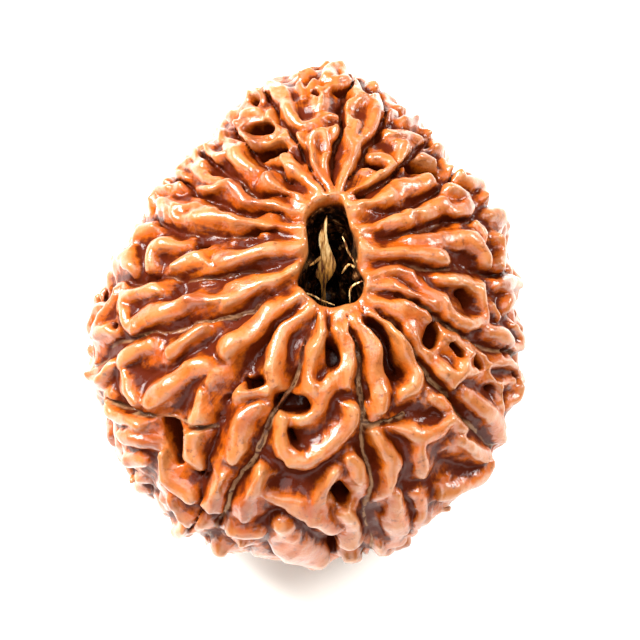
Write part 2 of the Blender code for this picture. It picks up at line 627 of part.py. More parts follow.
def cut(obj, cutter):
    cutter.hide_render = True
    cutter.display_type = "WIRE"
    difference = obj.modifiers.new("Cut " + cutter.name, "BOOLEAN")
    difference.operation = "DIFFERENCE"
    difference.object = cutter


def slot_outline(level):
    """The canal's outline at this height: the hull of two circles, which shrink downwards."""
    depth = min(max((MOUTH_HEIGHT - level) / CANAL_DEPTH, 0), 1)
    narrowing = 1 - (1 - CANAL_END_SHARE) * depth**CANAL_TAPER_POWER
    back, front = np.array(CANAL_BACK), np.array(CANAL_FRONT)
    (back_x, back_y), (front_x, front_y) = back, front
    lean = math.asin((CANAL_FRONT_RADIUS - CANAL_BACK_RADIUS) * narrowing / np.linalg.norm(back - front))
    toward = math.atan2(back_y - front_y, back_x - front_x)
    outline = []
    for angle in np.linspace(-math.pi / 2 + lean, math.pi / 2 - lean, CANAL_STEPS):
        radius = CANAL_BACK_RADIUS * narrowing
        way = toward + angle
        outline.append((back_x + radius * math.cos(way), back_y + radius * math.sin(way)))
    for angle in np.linspace(math.pi / 2 - lean, 3 * math.pi / 2 + lean, CANAL_STEPS):
        radius = CANAL_FRONT_RADIUS * narrowing
        way = toward + angle
        outline.append((front_x + radius * math.cos(way), front_y + radius * math.sin(way)))
    return [(x, y, level) for x, y in outline]


def make_canal_cutter():
    levels = np.linspace(MOUTH_HEIGHT - CANAL_DEPTH, MOUTH_HEIGHT + CANAL_OVERCUT, CANAL_LEVELS)
    rings = [slot_outline(level) for level in levels]
    around = len(rings[0])
    faces = [list(range(around))[::-1]]
    for level in range(CANAL_LEVELS - 1):
        low, high = level * around, (level + 1) * around
        for i in range(around):
            after = (i + 1) % around
            faces.append([low + i, low + after, high + after, high + i])
    faces.append([(CANAL_LEVELS - 1) * around + i for i in range(around)])
    return mesh_object("canal_cutter", np.vstack(rings), faces)


def make_ground_cutter():
    shape = bmesh.new()
    bmesh.ops.create_cube(shape, size=GROUND_CUTTER_SIZE)
    points = np.array([vert.co for vert in shape.verts]) - (0, 0, GROUND_CUTTER_SIZE / 2)
    faces = [[vert.index for vert in face.verts] for face in shape.faces]
    shape.free()
    return mesh_object("ground_cutter", points, faces)


def make_seed():
    shown = shown_lumps()
    shapes = [core()]
    for points, radii in shown + hidden_lumps(shown):
        shapes += rounded_ridge(points, radii)
    seed = mesh_object("seed", *joined(shapes))
    fused = seed.modifiers.new("Fuse the lumps", "REMESH")
    fused.mode = "VOXEL"
    fused.voxel_size = VOXEL * MM
    softer = seed.modifiers.new("Soften", "SMOOTH")
    softer.factor = SOFTENING_SHARE
    softer.iterations = SOFTENING
    made_real(seed)
    keep_largest(seed)
    cut(seed, make_canal_cutter())
    fewer = seed.modifiers.new("Fewer faces", "DECIMATE")
    fewer.ratio = SEED_TRIANGLES / (2 * len(seed.data.polygons))
    fewer.use_collapse_triangulate = True
    cut(seed, make_ground_cutter())
    seed.data.materials.append(material("oiled_stone", STONE_COLOUR, STONE_ROUGHNESS))
    seed.data.shade_smooth()


def make_fibre():
    """The dry sliver that stands in the canal: a ribbon whose width changes along it."""
    curve = bpy.data.curves.new("canal_fibre", "CURVE")
    curve.dimensions = "3D"
    curve.bevel_depth = MM
    curve.bevel_resolution = FIBRE_BEVEL_STEPS
    curve.use_fill_caps = True
    line = curve.splines.new("POLY")
    line.points.add(len(FIBRE) - 1)
    for point, (x, y, z, half_width) in zip(line.points, FIBRE):
        point.co = (x * MM, y * MM, z * MM, 1)
        point.radius = half_width
    curve.materials.append(material("dry_fibre", FIBRE_COLOUR, FIBRE_ROUGHNESS))
    bpy.context.scene.collection.objects.link(bpy.data.objects.new("canal_fibre", curve))


def clear_scene():
    for old in list(bpy.data.objects):
        bpy.data.objects.remove(old)


def main():
    clear_scene()
    make_seed()
    make_fibre()


main()
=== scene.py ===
"""A rudraksha seed on a pale floor: the many-faced oiled stone, with the torn dry tissue in its canal.

The stone is one surface around a distance field: an egg-shaped body at the depth of the valleys, rounded
lumps and ridges up to the crests' surface, seams and a canal cut into it. Lengths in the functions below are
in millimetres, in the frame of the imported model, until meshes are written in metres.
"""

import itertools
import math

import bpy
import numpy as np
from mathutils import Matrix, Vector


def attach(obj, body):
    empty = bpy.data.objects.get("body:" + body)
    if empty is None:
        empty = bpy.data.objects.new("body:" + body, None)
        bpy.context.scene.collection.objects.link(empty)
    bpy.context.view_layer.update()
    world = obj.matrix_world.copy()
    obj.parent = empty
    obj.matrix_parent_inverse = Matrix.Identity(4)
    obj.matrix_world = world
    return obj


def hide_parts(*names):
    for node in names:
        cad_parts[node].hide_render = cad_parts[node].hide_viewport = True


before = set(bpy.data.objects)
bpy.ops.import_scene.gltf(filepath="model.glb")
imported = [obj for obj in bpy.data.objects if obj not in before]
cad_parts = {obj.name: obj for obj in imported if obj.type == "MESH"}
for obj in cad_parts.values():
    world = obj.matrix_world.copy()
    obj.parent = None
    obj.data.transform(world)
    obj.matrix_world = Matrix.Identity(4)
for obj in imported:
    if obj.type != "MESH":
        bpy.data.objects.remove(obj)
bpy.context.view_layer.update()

MM = 0.001

# The body. Radii run from the canal's axis, one every 30 degrees, counter-clockwise from +X.
PLAN_RADII = (13.9, 14.3, 15.5, 18.9, 16.6, 15.3, 16.9, 18.1, 18.3, 17.3, 16.3, 15.0)
MID_HEIGHT = 12.8
RISE = 13.0
DROP = 13.1
SQUARENESS = 2.25

# The relief.
VALLEY_DEPTH = 1.7
ROOT_DEPTH = 2.9
FLARE = 1.2
LUMP_BLEND = 0.3
ROOT_BLEND = 0.9
COLLAR_DEPTH = 0.9
COLLAR_WIDTH = 3.5
RIM_RADIUS = 0.42
RIM_REACH = (1.5, 4.5)
SEAM_HALF_WIDTH = 0.13
SEAM_DEPTH = 1.6
SEAM_BLEND = 0.35
SEAM_START = (1.0, 3.2)
WEB_DEPTH = 1.15
LOW_WEB_DEPTH = 1.7
WEB_RADIUS = 0.1
WEB_FLARE = 0.1
WEB_BLEND = 0.15
WEB_OUTSET = 0.5
LEAST_OUTSET = 0.02
WALL_MARGIN = 0.9
PIT_DEPTH = 2.9
PIT_BLEND = 0.5

# How seams and pits are placed: how deep their pixels show them, and how seams go on below.
PIT_SEEN_DEPTH = 1.2
SEAM_SEEN_DEPTH = 1.1
SEAM_STEPS = 14
SEAM_SWAY = 0.04
SEAM_WAVES = 4

# Steps for normals and for the search along a pixel's ray.
NORMAL_STEP = 0.05
VIEW_REACH = 25.0
VIEW_STEPS = 501

# Slow waves that move the body's points a little: lengths and sizes.
SWAYS = ((3.2, 0.18), (1.3, 0.05))
SWAY_WAVES = 4
SWAY_SPREAD = (0.6, 1.4)
SWAY_SEED = 7

# The canal: a slot with a narrow back end and a wide front end, getting smaller downwards.
CANAL_BACK, CANAL_BACK_RADIUS = (-0.05, 2.55), 1.35
CANAL_FRONT, CANAL_FRONT_RADIUS = (0.25, -1.35), 2.2
CANAL_DEPTH = 14.0
CANAL_END_SHARE = 0.35
CANAL_NARROWING = 1.5
LIP_BLEND = 0.35

# The dry fibre in the canal: x, y, z and half width, from its root up.
FIBRE = (
    (-0.1, -0.9, 12.2, 0.14),
    (-0.25, -0.6, 15.5, 0.16),
    (-0.3, -0.1, 18.2, 0.12),
    (-0.3, 0.15, 19.4, 0.18),
    (-0.2, 0.35, 20.4, 0.36),
    (-0.1, 0.6, 21.2, 0.5),
    (0.05, 0.95, 21.8, 0.52),
    (-0.1, 1.4, 22.3, 0.44),
    (-0.3, 1.75, 22.8, 0.34),
    (-0.3, 2.25, 23.3, 0.26),
    (-0.2, 2.75, 23.8, 0.16),
    (-0.1, 3.25, 24.2, 0.1),
)
# Torn threads beside it, in the same form.
THREADS = (
    ((0.0, 1.2, 22.0, 0.16), (-0.4, 1.2, 22.1, 0.13), (-0.9, 0.95, 21.7, 0.1), (-1.4, 0.75, 21.5, 0.07)),
    ((0.9, 1.9, 23.9, 0.03), (1.1, 1.6, 23.6, 0.06), (1.3, 1.2, 23.0, 0.07), (1.75, 0.6, 22.5, 0.05)),
    ((-2.1, -1.4, 22.3, 0.05), (-1.2, -1.6, 22.5, 0.06), (-0.4, -2.0, 22.4, 0.06), (0.4, -2.2, 22.1, 0.03)),
    ((2.2, -1.1, 23.6, 0.05), (1.6, -1.3, 23.3, 0.07), (1.4, -1.6, 23.0, 0.06), (1.4, -2.1, 22.3, 0.03)),
    ((1.9, 0.3, 22.0, 0.06), (1.4, 0.6, 22.2, 0.09), (1.1, 0.4, 22.0, 0.08), (0.9, 0.2, 21.6, 0.04)),
)
STRANDS = 13
STRAND_SHARE = 0.36
STRAND_LEAST = 0.015
STRAND_TWIST = (0.6, 2.2)
STRAND_SHIFT = 0.3
STRAND_OUT = (0.35, 1.0)
STRAND_WAVE = 0.35
STRAND_WAVES = (9, 25)
STRAND_FLATNESS = 0.45
STRAND_LATEST_START = 8
STRAND_TIP = (0.8, 0.5, 0.2)
STRAND_SEED = 5
STRAND_STEPS = 5

# Crumbs on the canal's walls.
CRUMB_SEED = 3
CRUMB_TRIES = 1500
CRUMB_LOW, CRUMB_HIGH = (-2.6, -3.8, 15.5), (2.6, 4.2, 23.6)
CRUMB_REACH = 0.12
CRUMB_RADIUS = (0.14, 0.4)

# The photograph's view: what it looks at, from how high, and how large a millimetre is in it.
VIEW_ELEVATION = math.radians(70)
VIEW_DISTANCE = 180.0
PIXELS_PER_MM = 14.5
PICTURE_CENTRE = (320, 320)
PICTURE_SIZE = 640
AXIS_PIXEL = (328, 322)

# The grid of distances, and the mesh made from it.
FAR = 4.0
LEAST_STEEPNESS = 0.02
GRID_STEP = 0.14
GRID_LOW = np.array((-18.0, -19.8, -0.9))
GRID_HIGH = np.array((16.6, 20.4, 27.6))
SMOOTHING = 1
SMOOTH_FACTOR = 0.5
CURVE_STEPS = 3
CROWDING_REACH = 0.7
DULL_CROWDING = 0.5
STONE_TRIANGLES = 190000

# Noises in the materials: scale, detail and roughness.
PATCH_NOISE = (300, 3, 0.55)
FLECK_NOISE = (1500, 4, 0.6)
GRAIN_NOISE = (5200, 3, 0.6)
VEIN_NOISE = (2600, 3, 0.6)
SPECK_NOISE = (1900, 4, 0.7)
TISSUE_NOISE = (700, 3, 0.6)
STREAK_NOISE = (5000, 3, 0.6)
VEIN_TURN, VEIN_RISE = 0.012, 0.2
STREAK_STRETCH = (1, 0.2, 0.1)

# Colours along a noise, each with its place on it, and two plain ones.
# The crest and flank colours are lit and shaded copies of the stone's colour: the darker flank ones are
# painted shade.
LIT_CREST_COLOURS = ((0.3, (0.2, 0.04, 0.005)), (0.48, (0.31, 0.097, 0.021)), (0.72, (0.345, 0.15, 0.058)))
SHADED_FLANK_COLOURS = ((0.3, (0.24, 0.036, 0.001)), (0.7, (0.36, 0.078, 0.003)))
# On the canal's walls: the near-black colour is painted shade, the paler ones are crumbs of tissue.
CRUMB_AND_CANAL_SHADE_COLOURS = ((0.5, (0.003, 0.0008, 0.0004)), (0.62, (0.09, 0.025, 0.006)), (0.72, (0.5, 0.27, 0.1)))
TISSUE_COLOURS = ((0.25, (0.09, 0.035, 0.012)), (0.75, (0.26, 0.13, 0.06)))
PALE_COLOURS = ((0.4, (0.16, 0.04, 0.005)), (0.5, (0.6, 0.29, 0.07)), (0.6, (0.95, 0.66, 0.3)))
RUSTY_COLOURS = ((0.42, (0.1, 0.02, 0.002)), (0.58, (0.8, 0.34, 0.05)))
# Painted shade in the crevices: a near-black brown.
CREVICE_SHADE_COLOUR = (0.055, 0.0055, 0.0002, 1)
SPECK_COLOUR = (0.06, 0.009, 0.001, 1)

# Changes of look: the values between which each comes about, and its size at both if not 0 and 1.
PATCH_MOTTLE = (0.3, 0.7, -0.05, 0.05)
FLECK_MOTTLE = (0.3, 0.7, -0.04, 0.04)
VEIN_MOTTLE = (0.35, 0.65, 0.03, -0.03)
# Where painted shade darkens first the flanks, then the crevices, by crowding and by depth.
FLANK_SHADE_CROWDING = (0.29, 0.47)
CREVICE_SHADE_CROWDING = (0.44, 0.61)
CREVICE_SHADE_DEPTH = (1.5, 2.5)
SPECK_SHARE = (0.54, 0.7, 0.0, 0.6)
# Where the canal's walls take painted shade and crumb colours.
WALL_REACH = (0.25, 0.05)
WALL_DEPTH = (0.5, 1.4)
TISSUE_WIDENING = (0.004, -0.01, 0.0, 0.1)
TISSUE_WIDTH = (0.03, 0.13, 0.85, 0.0)
TISSUE_REACH = (1.6, 4.5)
TISSUE_PATCHES = (0.36, 0.58, 0.3, 1)
PALE_HEIGHT = (0.0212, 0.0228)
STONE_ROUGHNESS = (0.4, 0.7, 0.38, 0.62)
TISSUE_WAVES, TISSUE_SWAY = 40, 5

# Gloss and fine relief.
FIBRE_ROUGHNESS = 0.8
STONE_IOR, OIL_IOR = 1.5, 1.42
GRAIN_HEIGHT = 0.5
STONE_BUMP = {"Strength": 0.5, "Distance": 0.00012}
FILM_BUMP = {"Strength": 0.45, "Distance": 0.00014}
FIBRE_BUMP = {"Strength": 0.7, "Distance": 0.0002}

# The studio, in metres and watts.
FLOOR_HALF = 0.6
FLOOR_COLOUR = (0.93, 0.93, 0.88, 1)
FLOOR_ROUGHNESS = 0.9
FLOOR_GLOSS = 0.1
LIGHTS = (
    ("window_left", (-0.17, 0.1, 0.2), 0.12, 2.8),
    ("window_right", (0.2, 0.1, 0.14), 0.08, 0.8),
    ("overhead", (0.02, -0.02, 0.34), 0.25, 1.2),
    ("front_fill", (0.0, -0.3, 0.12), 0.3, 0.9),
)
WORLD_COLOUR = (1.0, 0.95, 0.85, 1)
WORLD_STRENGTH = 0.17
SENSOR_WIDTH = 36.0
CLIP_START = 0.005

# The seed's outline in the photograph's pixels.
OUTLINE_SEEN = (
    (335, 62), (322, 68), (300, 78), (284, 82), (268, 88), (252, 96), (245, 110), (232, 118),
    (214, 128), (212, 140), (200, 148), (188, 152), (186, 164), (160, 186), (152, 196), (150, 212),
    (140, 222), (118, 248), (113, 262), (112, 280), (97, 298), (92, 320), (86, 332), (98, 350),
    (86, 376), (100, 386), (106, 408), (118, 424), (116, 456), (122, 468), (148, 474), (160, 488),
    (170, 508), (172, 532), (182, 541), (198, 534), (208, 530), (210, 556), (228, 558), (235, 542),
    (262, 541), (285, 556), (310, 567), (326, 570), (340, 557), (348, 562), (360, 560), (363, 550),
    (372, 545), (384, 557), (402, 559), (413, 537), (418, 522), (432, 524), (434, 508), (438, 500),
    (465, 487), (490, 475), (494, 462), (490, 452), (503, 438), (508, 400), (514, 396), (522, 380),
    (516, 356), (522, 340), (514, 318), (512, 298), (524, 288), (520, 276), (508, 264), (508, 240),
    (504, 215), (486, 196), (484, 182), (466, 172), (452, 160), (444, 148), (434, 142), (428, 130),
    (416, 118), (402, 114), (398, 102), (382, 100), (378, 84), (362, 76), (346, 64),
)

# Seams, as points in the photograph's pixels from the canal outwards, clockwise from the top.
SEAMS_SEEN = (
    ((331, 195), (333, 170), (338, 150), (340, 135), (341, 115), (346, 98), (349, 84)),
    ((343, 197), (350, 183), (358, 168), (365, 155), (373, 143), (379, 128), (381, 112), (383, 100)),
    ((348, 203), (366, 199), (380, 187), (390, 177), (400, 167), (409, 158), (420, 149), (428, 140)),
    ((350, 219), (368, 215), (386, 212), (402, 211), (415, 204), (430, 197), (441, 189), (450, 178),
     (456, 168)),
    ((356, 238), (375, 239), (395, 238), (412, 235), (430, 231), (445, 226), (461, 224), (472, 218),
     (487, 203)),
    ((363, 261), (385, 267), (405, 270), (425, 271), (453, 269), (470, 272), (485, 276), (500, 272)),
    ((368, 297), (392, 299), (412, 306), (430, 318), (445, 328), (460, 338), (476, 346), (495, 353),
     (510, 357)),
    ((362, 305), (378, 314), (396, 330), (409, 347), (418, 364), (428, 379), (440, 391), (450, 403),
     (462, 420), (476, 432), (492, 447)),
    ((350, 318), (354, 335), (357, 355), (357, 380), (358, 397), (361, 415), (364, 434), (367, 462),
     (369, 485), (368, 505), (367, 525), (371, 545)),
    ((318, 312), (308, 338), (297, 368), (286, 393), (276, 411), (268, 425), (262, 441), (255, 456),
     (242, 470), (234, 490), (230, 505), (218, 520), (212, 537)),
    ((301, 303), (277, 330), (260, 355), (244, 377), (231, 396), (221, 415), (217, 438), (213, 468),
     (206, 478)),
    ((297, 283), (275, 298), (255, 313), (236, 318), (215, 323), (190, 325), (166, 333), (134, 339),
     (112, 348)),
    ((298, 258), (280, 270), (262, 276), (240, 278), (227, 279), (187, 280), (160, 279), (133, 283),
     (118, 287)),
    ((303, 237), (280, 238), (260, 237), (230, 239), (205, 238), (185, 234), (166, 228), (158, 222)),
    ((303, 221), (282, 221), (262, 219), (235, 210), (212, 203), (198, 195), (185, 186)),
    ((306, 209), (288, 205), (266, 198), (248, 189), (236, 180), (220, 168), (206, 156)),
    ((311, 202), (298, 190), (283, 175), (269, 168), (256, 157), (243, 142), (234, 130)),
    ((321, 198), (312, 178), (304, 160), (293, 140), (284, 126), (272, 106), (267, 92)),
)
SIDE_SEAMS_SEEN = (
    ((364, 422), (385, 420), (395, 417), (405, 412)),
    ((216, 425), (196, 421), (175, 419), (155, 414), (135, 408), (118, 397)),
)

# The seams, by their place in SEAMS_SEEN, that show no tissue.
BARE_SEAMS = (10,)

# Lumps. Each is a crest: pixel x, pixel y and half width in pixels at every point.
LUMPS_SEEN = (
    # Behind the canal.
    ((327, 191, 2.5), (319, 180, 3.5), (311, 162, 4), (310, 148, 4.5), (315, 134, 4.5), (324, 137, 4.5),
     (330, 146, 4)),
    ((328, 183, 3), (327, 170, 5), (327, 158, 6)),
    ((297, 133, 4), (300, 144, 4.5)),
    ((334, 129, 3), (336, 139, 3.5)),
    ((315, 119, 4), (322, 114, 5), (331, 113, 5), (338, 114, 4)),
    ((283, 92, 5), (285, 104, 7), (291, 117, 7), (301, 123, 6), (310, 121, 5)),
    ((300, 87, 4), (301, 99, 3.5)),
    ((316, 85, 5), (309, 93, 4), (313, 99, 3)),
    ((321, 90, 4), (324, 104, 3.5)),
    ((273, 84, 6), (276, 97, 5)),
    ((303, 76, 5), (313, 74, 6)),
    ((329, 90, 4), (337, 87, 5), (345, 90, 4)),
    ((326, 80, 5), (331, 70, 7), (339, 66, 5), (341, 77, 5), (333, 82, 5)),
    ((332, 194, 3), (340, 187, 5), (348, 175, 6), (353, 161, 6), (354, 147, 6), (346, 134, 5)),
    ((352, 104, 5), (350, 115, 5), (347, 125, 4)),
    ((352, 76, 4.5), (349, 84, 3)),
    ((355, 90, 4), (357, 100, 4)),
    ((360, 96, 3.5), (371, 99, 4), (380, 95, 3.5)),
    ((373, 107, 7), (372, 120, 6), (367, 134, 5), (361, 148, 4)),
    ((357, 125, 5), (355, 137, 4)),
    # Behind, on the right.
    ((344, 198, 3), (356, 195, 4), (368, 188, 5), (378, 179, 6), (387, 171, 5), (391, 164, 5),
     (384, 157, 6), (373, 158, 6), (365, 164, 4)),
    ((387, 113, 5), (397, 112, 5)),
    ((386, 134, 6), (398, 137, 6.5), (412, 139, 6.5), (421, 141, 5)),
    ((406, 123, 4.5), (416, 121, 5)),
    ((428, 134, 5),),
    ((348, 209, 3), (356, 211, 4), (366, 207, 4), (378, 201, 5), (390, 192, 8), (403, 188, 11),
     (417, 187, 11), (428, 182, 8)),
    ((402, 149, 6), (400, 160, 7)),
    ((415, 158, 8), (428, 161, 9)),
    ((430, 143, 5), (438, 146, 6)),
    ((444, 158, 6), (450, 169, 7), (458, 178, 7)),
    ((356, 231, 2.5), (370, 227, 5), (386, 223, 8), (400, 223, 9), (408, 224, 6)),
    ((407, 214, 4), (420, 216, 9), (433, 213, 12), (440, 209, 9)),
    ((446, 192, 6), (457, 195, 7), (468, 199, 8)),
    ((452, 213, 6), (462, 213, 7), (471, 207, 7)),
    ((466, 184, 7), (478, 188, 8), (482, 199, 6)),
    # On the right.
    ((359, 246, 3), (374, 252, 6), (391, 256, 8), (408, 257, 9), (425, 257, 10), (440, 258, 9)),
    ((412, 243, 6), (430, 241, 8), (446, 241, 11), (461, 244, 14), (474, 252, 13), (483, 261, 9)),
    ((475, 223, 5), (480, 231, 7), (484, 239, 5)),
    ((488, 215, 7), (498, 219, 7)),
    ((496, 238, 6), (502, 250, 6), (499, 263, 6)),
    ((369, 279, 4), (384, 275, 5), (400, 276, 5.5), (416, 281, 7), (430, 291, 9), (441, 302, 10),
     (447, 313, 7)),
    ((368, 290, 4), (382, 291, 7), (398, 293, 8), (414, 300, 9), (430, 307, 9)),
    ((441, 277, 5), (454, 281, 9), (468, 287, 10), (482, 286, 6)),
    ((477, 293, 8), (483, 305, 7), (481, 317, 8), (470, 324, 8.5), (459, 321, 8), (450, 313, 5)),
    ((494, 303, 5), (497, 314, 6)),
    ((496, 280, 6), (508, 284, 9), (518, 286, 5)),
    ((505, 297, 8), (507, 308, 5)),
    ((487, 330, 9), (499, 335, 9), (509, 343, 7)),
    ((515, 330, 4), (520, 343, 5), (514, 353, 5)),
    # In front, on the right.
    ((370, 302, 4), (386, 308, 7), (400, 317, 11), (410, 330, 12), (416, 344, 9), (421, 354, 6)),
    ((404, 309, 6), (418, 314, 6), (430, 322, 6), (436, 334, 5), (437, 346, 5), (432, 354, 4)),
    ((428, 357, 7), (439, 367, 10), (449, 378, 9), (452, 386, 5)),
    ((444, 335, 4), (454, 342, 5), (460, 352, 6), (462, 366, 8), (456, 376, 8)),
    ((470, 351, 4), (481, 355, 6), (484, 363, 6), (476, 371, 7), (467, 373, 6)),
    ((464, 396, 7), (476, 404, 9), (487, 415, 10), (496, 428, 9), (500, 440, 6)),
    ((490, 362, 4), (504, 363, 5), (516, 370, 5), (520, 381, 4)),
    ((519, 381, 3), (508, 384, 3), (498, 384, 3), (491, 376, 3), (489, 366, 3)),
    ((499, 386, 3), (498, 398, 3), (500, 410, 4), (504, 424, 5)),
    ((516, 386, 4), (515, 397, 4), (507, 405, 4)),
    ((358, 318, 5), (366, 334, 9), (372, 349, 11), (374, 363, 10), (378, 378, 12), (380, 393, 12),
     (379, 406, 7)),
    ((374, 314, 3), (387, 328, 6), (398, 343, 8), (407, 358, 8), (414, 373, 8), (413, 386, 8), (404, 392, 8)),
    ((430, 397, 6), (440, 405, 9), (447, 417, 9), (457, 426, 6), (466, 430, 3)),
    ((397, 426, 5), (408, 428, 8), (420, 435, 10), (433, 432, 9), (443, 422, 8)),
    ((418, 450, 7), (421, 461, 10), (424, 472, 8)),
    ((374, 431, 4), (382, 443, 8), (389, 456, 10), (391, 468, 9), (390, 481, 6), (390, 491, 3)),
    ((397, 493, 9), (394, 507, 15), (393, 522, 16), (396, 535, 12)),
    ((417, 496, 5), (419, 511, 7), (413, 529, 8)),
    ((427, 514, 6), (427, 521, 6)),
    ((380, 545, 6), (391, 549, 9), (405, 545, 8)),
    ((457, 440, 6), (468, 447, 9), (480, 452, 8), (489, 455, 4)),
    ((436, 492, 8), (452, 484, 12), (469, 473, 13), (485, 465, 9)),
    # In front.
    ((321, 318, 4), (320, 334, 5), (316, 350, 6), (310, 366, 7), (308, 382, 8), (314, 391, 8)),
    ((345, 308, 6), (339, 320, 7), (342, 337, 6), (344, 354, 6), (343, 372, 8), (334, 388, 11),
     (323, 402, 10), (310, 415, 9), (303, 419, 6)),
    ((349, 312, 6), (352, 328, 5), (352, 347, 4), (352, 366, 4), (350, 386, 5)),
    ((349, 408, 6), (350, 419, 8), (341, 429, 8), (330, 439, 9), (318, 447, 10)),
    ((284, 417, 6), (281, 430, 8), (281, 446, 10), (292, 458, 10), (307, 457, 11), (319, 448, 10)),
    ((348, 459, 6), (354, 469, 9), (358, 480, 7)),
    ((270, 497, 6), (290, 502, 9), (308, 509, 9), (321, 518, 7)),
    ((334, 473, 5), (325, 487, 6), (318, 500, 8), (322, 514, 9), (331, 528, 9)),
    ((343, 511, 9), (348, 524, 14), (350, 535, 13)),
    ((283, 518, 17), (299, 536, 26), (315, 548, 20)),
    ((352, 555, 8),),
    ((262, 474, 5), (257, 487, 7), (250, 502, 6), (244, 516, 6)),
    ((229, 530, 7), (245, 533, 8), (262, 532, 8)),
    ((221, 547, 10),),
    ((243, 545, 4),),
    # In front, on the left.
    ((311, 312, 4), (299, 320, 7), (286, 330, 9), (277, 343, 12), (274, 356, 11), (274, 370, 8),
     (275, 384, 6)),
    ((244, 395, 6), (256, 394, 6), (268, 392, 6)),
    ((257, 409, 7), (247, 418, 11), (240, 432, 12), (234, 446, 9), (229, 459, 5)),
    ((222, 477, 4), (215, 488, 7), (211, 499, 7), (211, 509, 4)),
    ((163, 455, 6), (168, 470, 8), (180, 484, 9), (193, 495, 8), (205, 502, 6)),
    ((172, 498, 7), (180, 510, 9), (192, 519, 9), (203, 524, 7)),
    ((180, 530, 9), (188, 533, 8)),
    ((300, 296, 4), (286, 304, 7), (272, 313, 9), (260, 325, 10), (247, 338, 10), (234, 345, 11),
     (225, 352, 8)),
    ((205, 331, 6), (195, 338, 8), (182, 345, 10), (173, 350, 8)),
    ((148, 346, 6), (138, 351, 9), (128, 358, 10), (122, 366, 7)),
    ((112, 367, 8), (105, 374, 8), (95, 375, 5), (89, 375, 3.5)),
    ((126, 378, 7), (129, 391, 9), (136, 401, 7)),
    ((206, 368, 7), (191, 372, 9), (176, 380, 11), (163, 391, 12), (150, 401, 9)),
    ((217, 372, 6), (212, 382, 6)),
    ((204, 396, 7), (200, 410, 6), (197, 424, 7), (196, 438, 11), (197, 451, 13), (202, 462, 10)),
    ((112, 402, 6), (114, 413, 7), (128, 420, 6), (142, 423, 5)),
    ((126, 434, 7), (140, 437, 8), (155, 443, 8)),
    ((128, 458, 10), (143, 458, 11)),
    # On the left.
    ((298, 264, 3), (284, 273, 6), (268, 281, 9), (250, 290, 12), (234, 297, 13), (226, 300, 10)),
    ((217, 298, 4), (204, 302, 7), (189, 306, 10), (172, 311, 11), (155, 316, 13), (141, 322, 12),
     (134, 331, 6)),
    ((121, 293, 5), (135, 291, 7), (150, 293, 8), (160, 293, 5)),
    ((120, 299, 5), (121, 311, 6), (127, 322, 6)),
    ((113, 296, 5), (108, 310, 6), (99, 322, 6), (93, 334, 5)),
    ((101, 333, 8), (113, 333, 6)),
    ((300, 244, 3), (284, 250, 6), (266, 256, 9), (247, 261, 11), (229, 260, 12), (218, 260, 9)),
    ((208, 264, 3), (196, 262, 6), (182, 264, 8), (173, 267, 6)),
    ((151, 265, 8), (152, 252, 8), (165, 245, 9), (179, 245, 7)),
    ((132, 267, 9), (134, 253, 9)),
    ((116, 255, 4), (125, 259, 6)),
    ((132, 241, 5), (141, 233, 6), (153, 226, 5)),
    # Behind, on the left.
    ((302, 229, 2.5), (281, 228, 4), (263, 228, 5), (246, 224, 6), (230, 220, 7), (214, 219, 8),
     (198, 219, 9), (182, 217, 9), (173, 213, 7)),
    ((206, 210, 2.5), (193, 205, 4), (180, 205, 5), (172, 208, 5)),
    ((153, 198, 4), (161, 190, 5), (171, 187, 6)),
    ((162, 204, 6), (163, 215, 5)),
    ((304, 214, 2), (286, 212, 4), (268, 208, 6), (253, 201, 7), (240, 192, 7), (226, 187, 7),
     (212, 190, 7), (199, 187, 5)),
    ((187, 166, 5), (197, 171, 6), (208, 175, 6), (220, 178, 4)),
    ((187, 156, 5), (196, 158, 6), (206, 163, 5)),
    ((181, 160, 3), (180, 172, 4), (184, 180, 4)),
    ((307, 207, 2.5), (295, 201, 4), (283, 194, 6), (273, 185, 8), (267, 178, 6)),
    ((227, 146, 5), (235, 154, 8), (243, 163, 8), (251, 173, 6)),
    ((215, 130, 3), (221, 137, 4), (232, 139, 4)),
    ((207, 149, 4), (214, 154, 5), (224, 157, 5)),
    ((233, 122, 4),),
    ((319, 198, 2.5), (307, 184, 4.5), (294, 170, 7), (284, 161, 7)),
    ((254, 122, 4), (243, 127, 5), (242, 138, 5), (252, 144, 5.5), (265, 144, 5.5), (277, 142, 5.5),
     (284, 136, 5), (285, 129, 4)),
    ((265, 110, 3), (266, 119, 6), (268, 126, 6)),
    ((251, 89, 4), (257, 93, 5), (264, 92, 4)),
    ((241, 115, 4), (251, 113, 4)),
)

# Pits and dark gaps between the lumps, in the same form.
PITS_SEEN = (
    ((316, 105, 3),),
    ((338, 103, 3),),
    ((363, 108, 3.5),),
    ((361, 171, 3), (376, 173, 3)),
    ((358, 204, 2.5), (364, 205, 2.5)),
    ((436, 154, 3), (443, 161, 3)),
    ((408, 170, 3), (420, 174, 3.5), (432, 176, 3)),
    ((453, 297, 5), (461, 306, 5)),
    ((425, 326, 3), (428, 337, 3.5), (428, 347, 3)),
    ((446, 346, 4), (452, 353, 4)),
    ((467, 355, 3.5), (471, 365, 4)),
    ((480, 388, 4),),
    ((502, 378, 4),),
    ((508, 392, 3),),
    ((492, 401, 3.5),),
    ((368, 322, 2), (378, 335, 3.5), (385, 350, 4.5), (389, 362, 5), (398, 374, 4)),
    ((328, 343, 2.5), (331, 355, 3), (329, 366, 2.5)),
    ((293, 428, 3), (294, 442, 3.5)),
    ((335, 486, 8), (343, 495, 9)),
    ((332, 533, 4), (334, 550, 4)),
    ((280, 399, 5), (294, 402, 6), (308, 402, 5)),
    ((252, 384, 4), (260, 382, 4)),
    ((171, 424, 6), (176, 440, 7), (180, 458, 5)),
    ((202, 472, 3), (207, 474, 3)),
    ((124, 330, 3),),
    ((202, 250, 4), (208, 250, 4)),
    ((253, 134, 4), (263, 134, 5), (272, 134, 4)),
    ((265, 154, 4), (274, 155, 4), (283, 153, 3)),
    ((256, 103, 4), (260, 108, 4)),
)

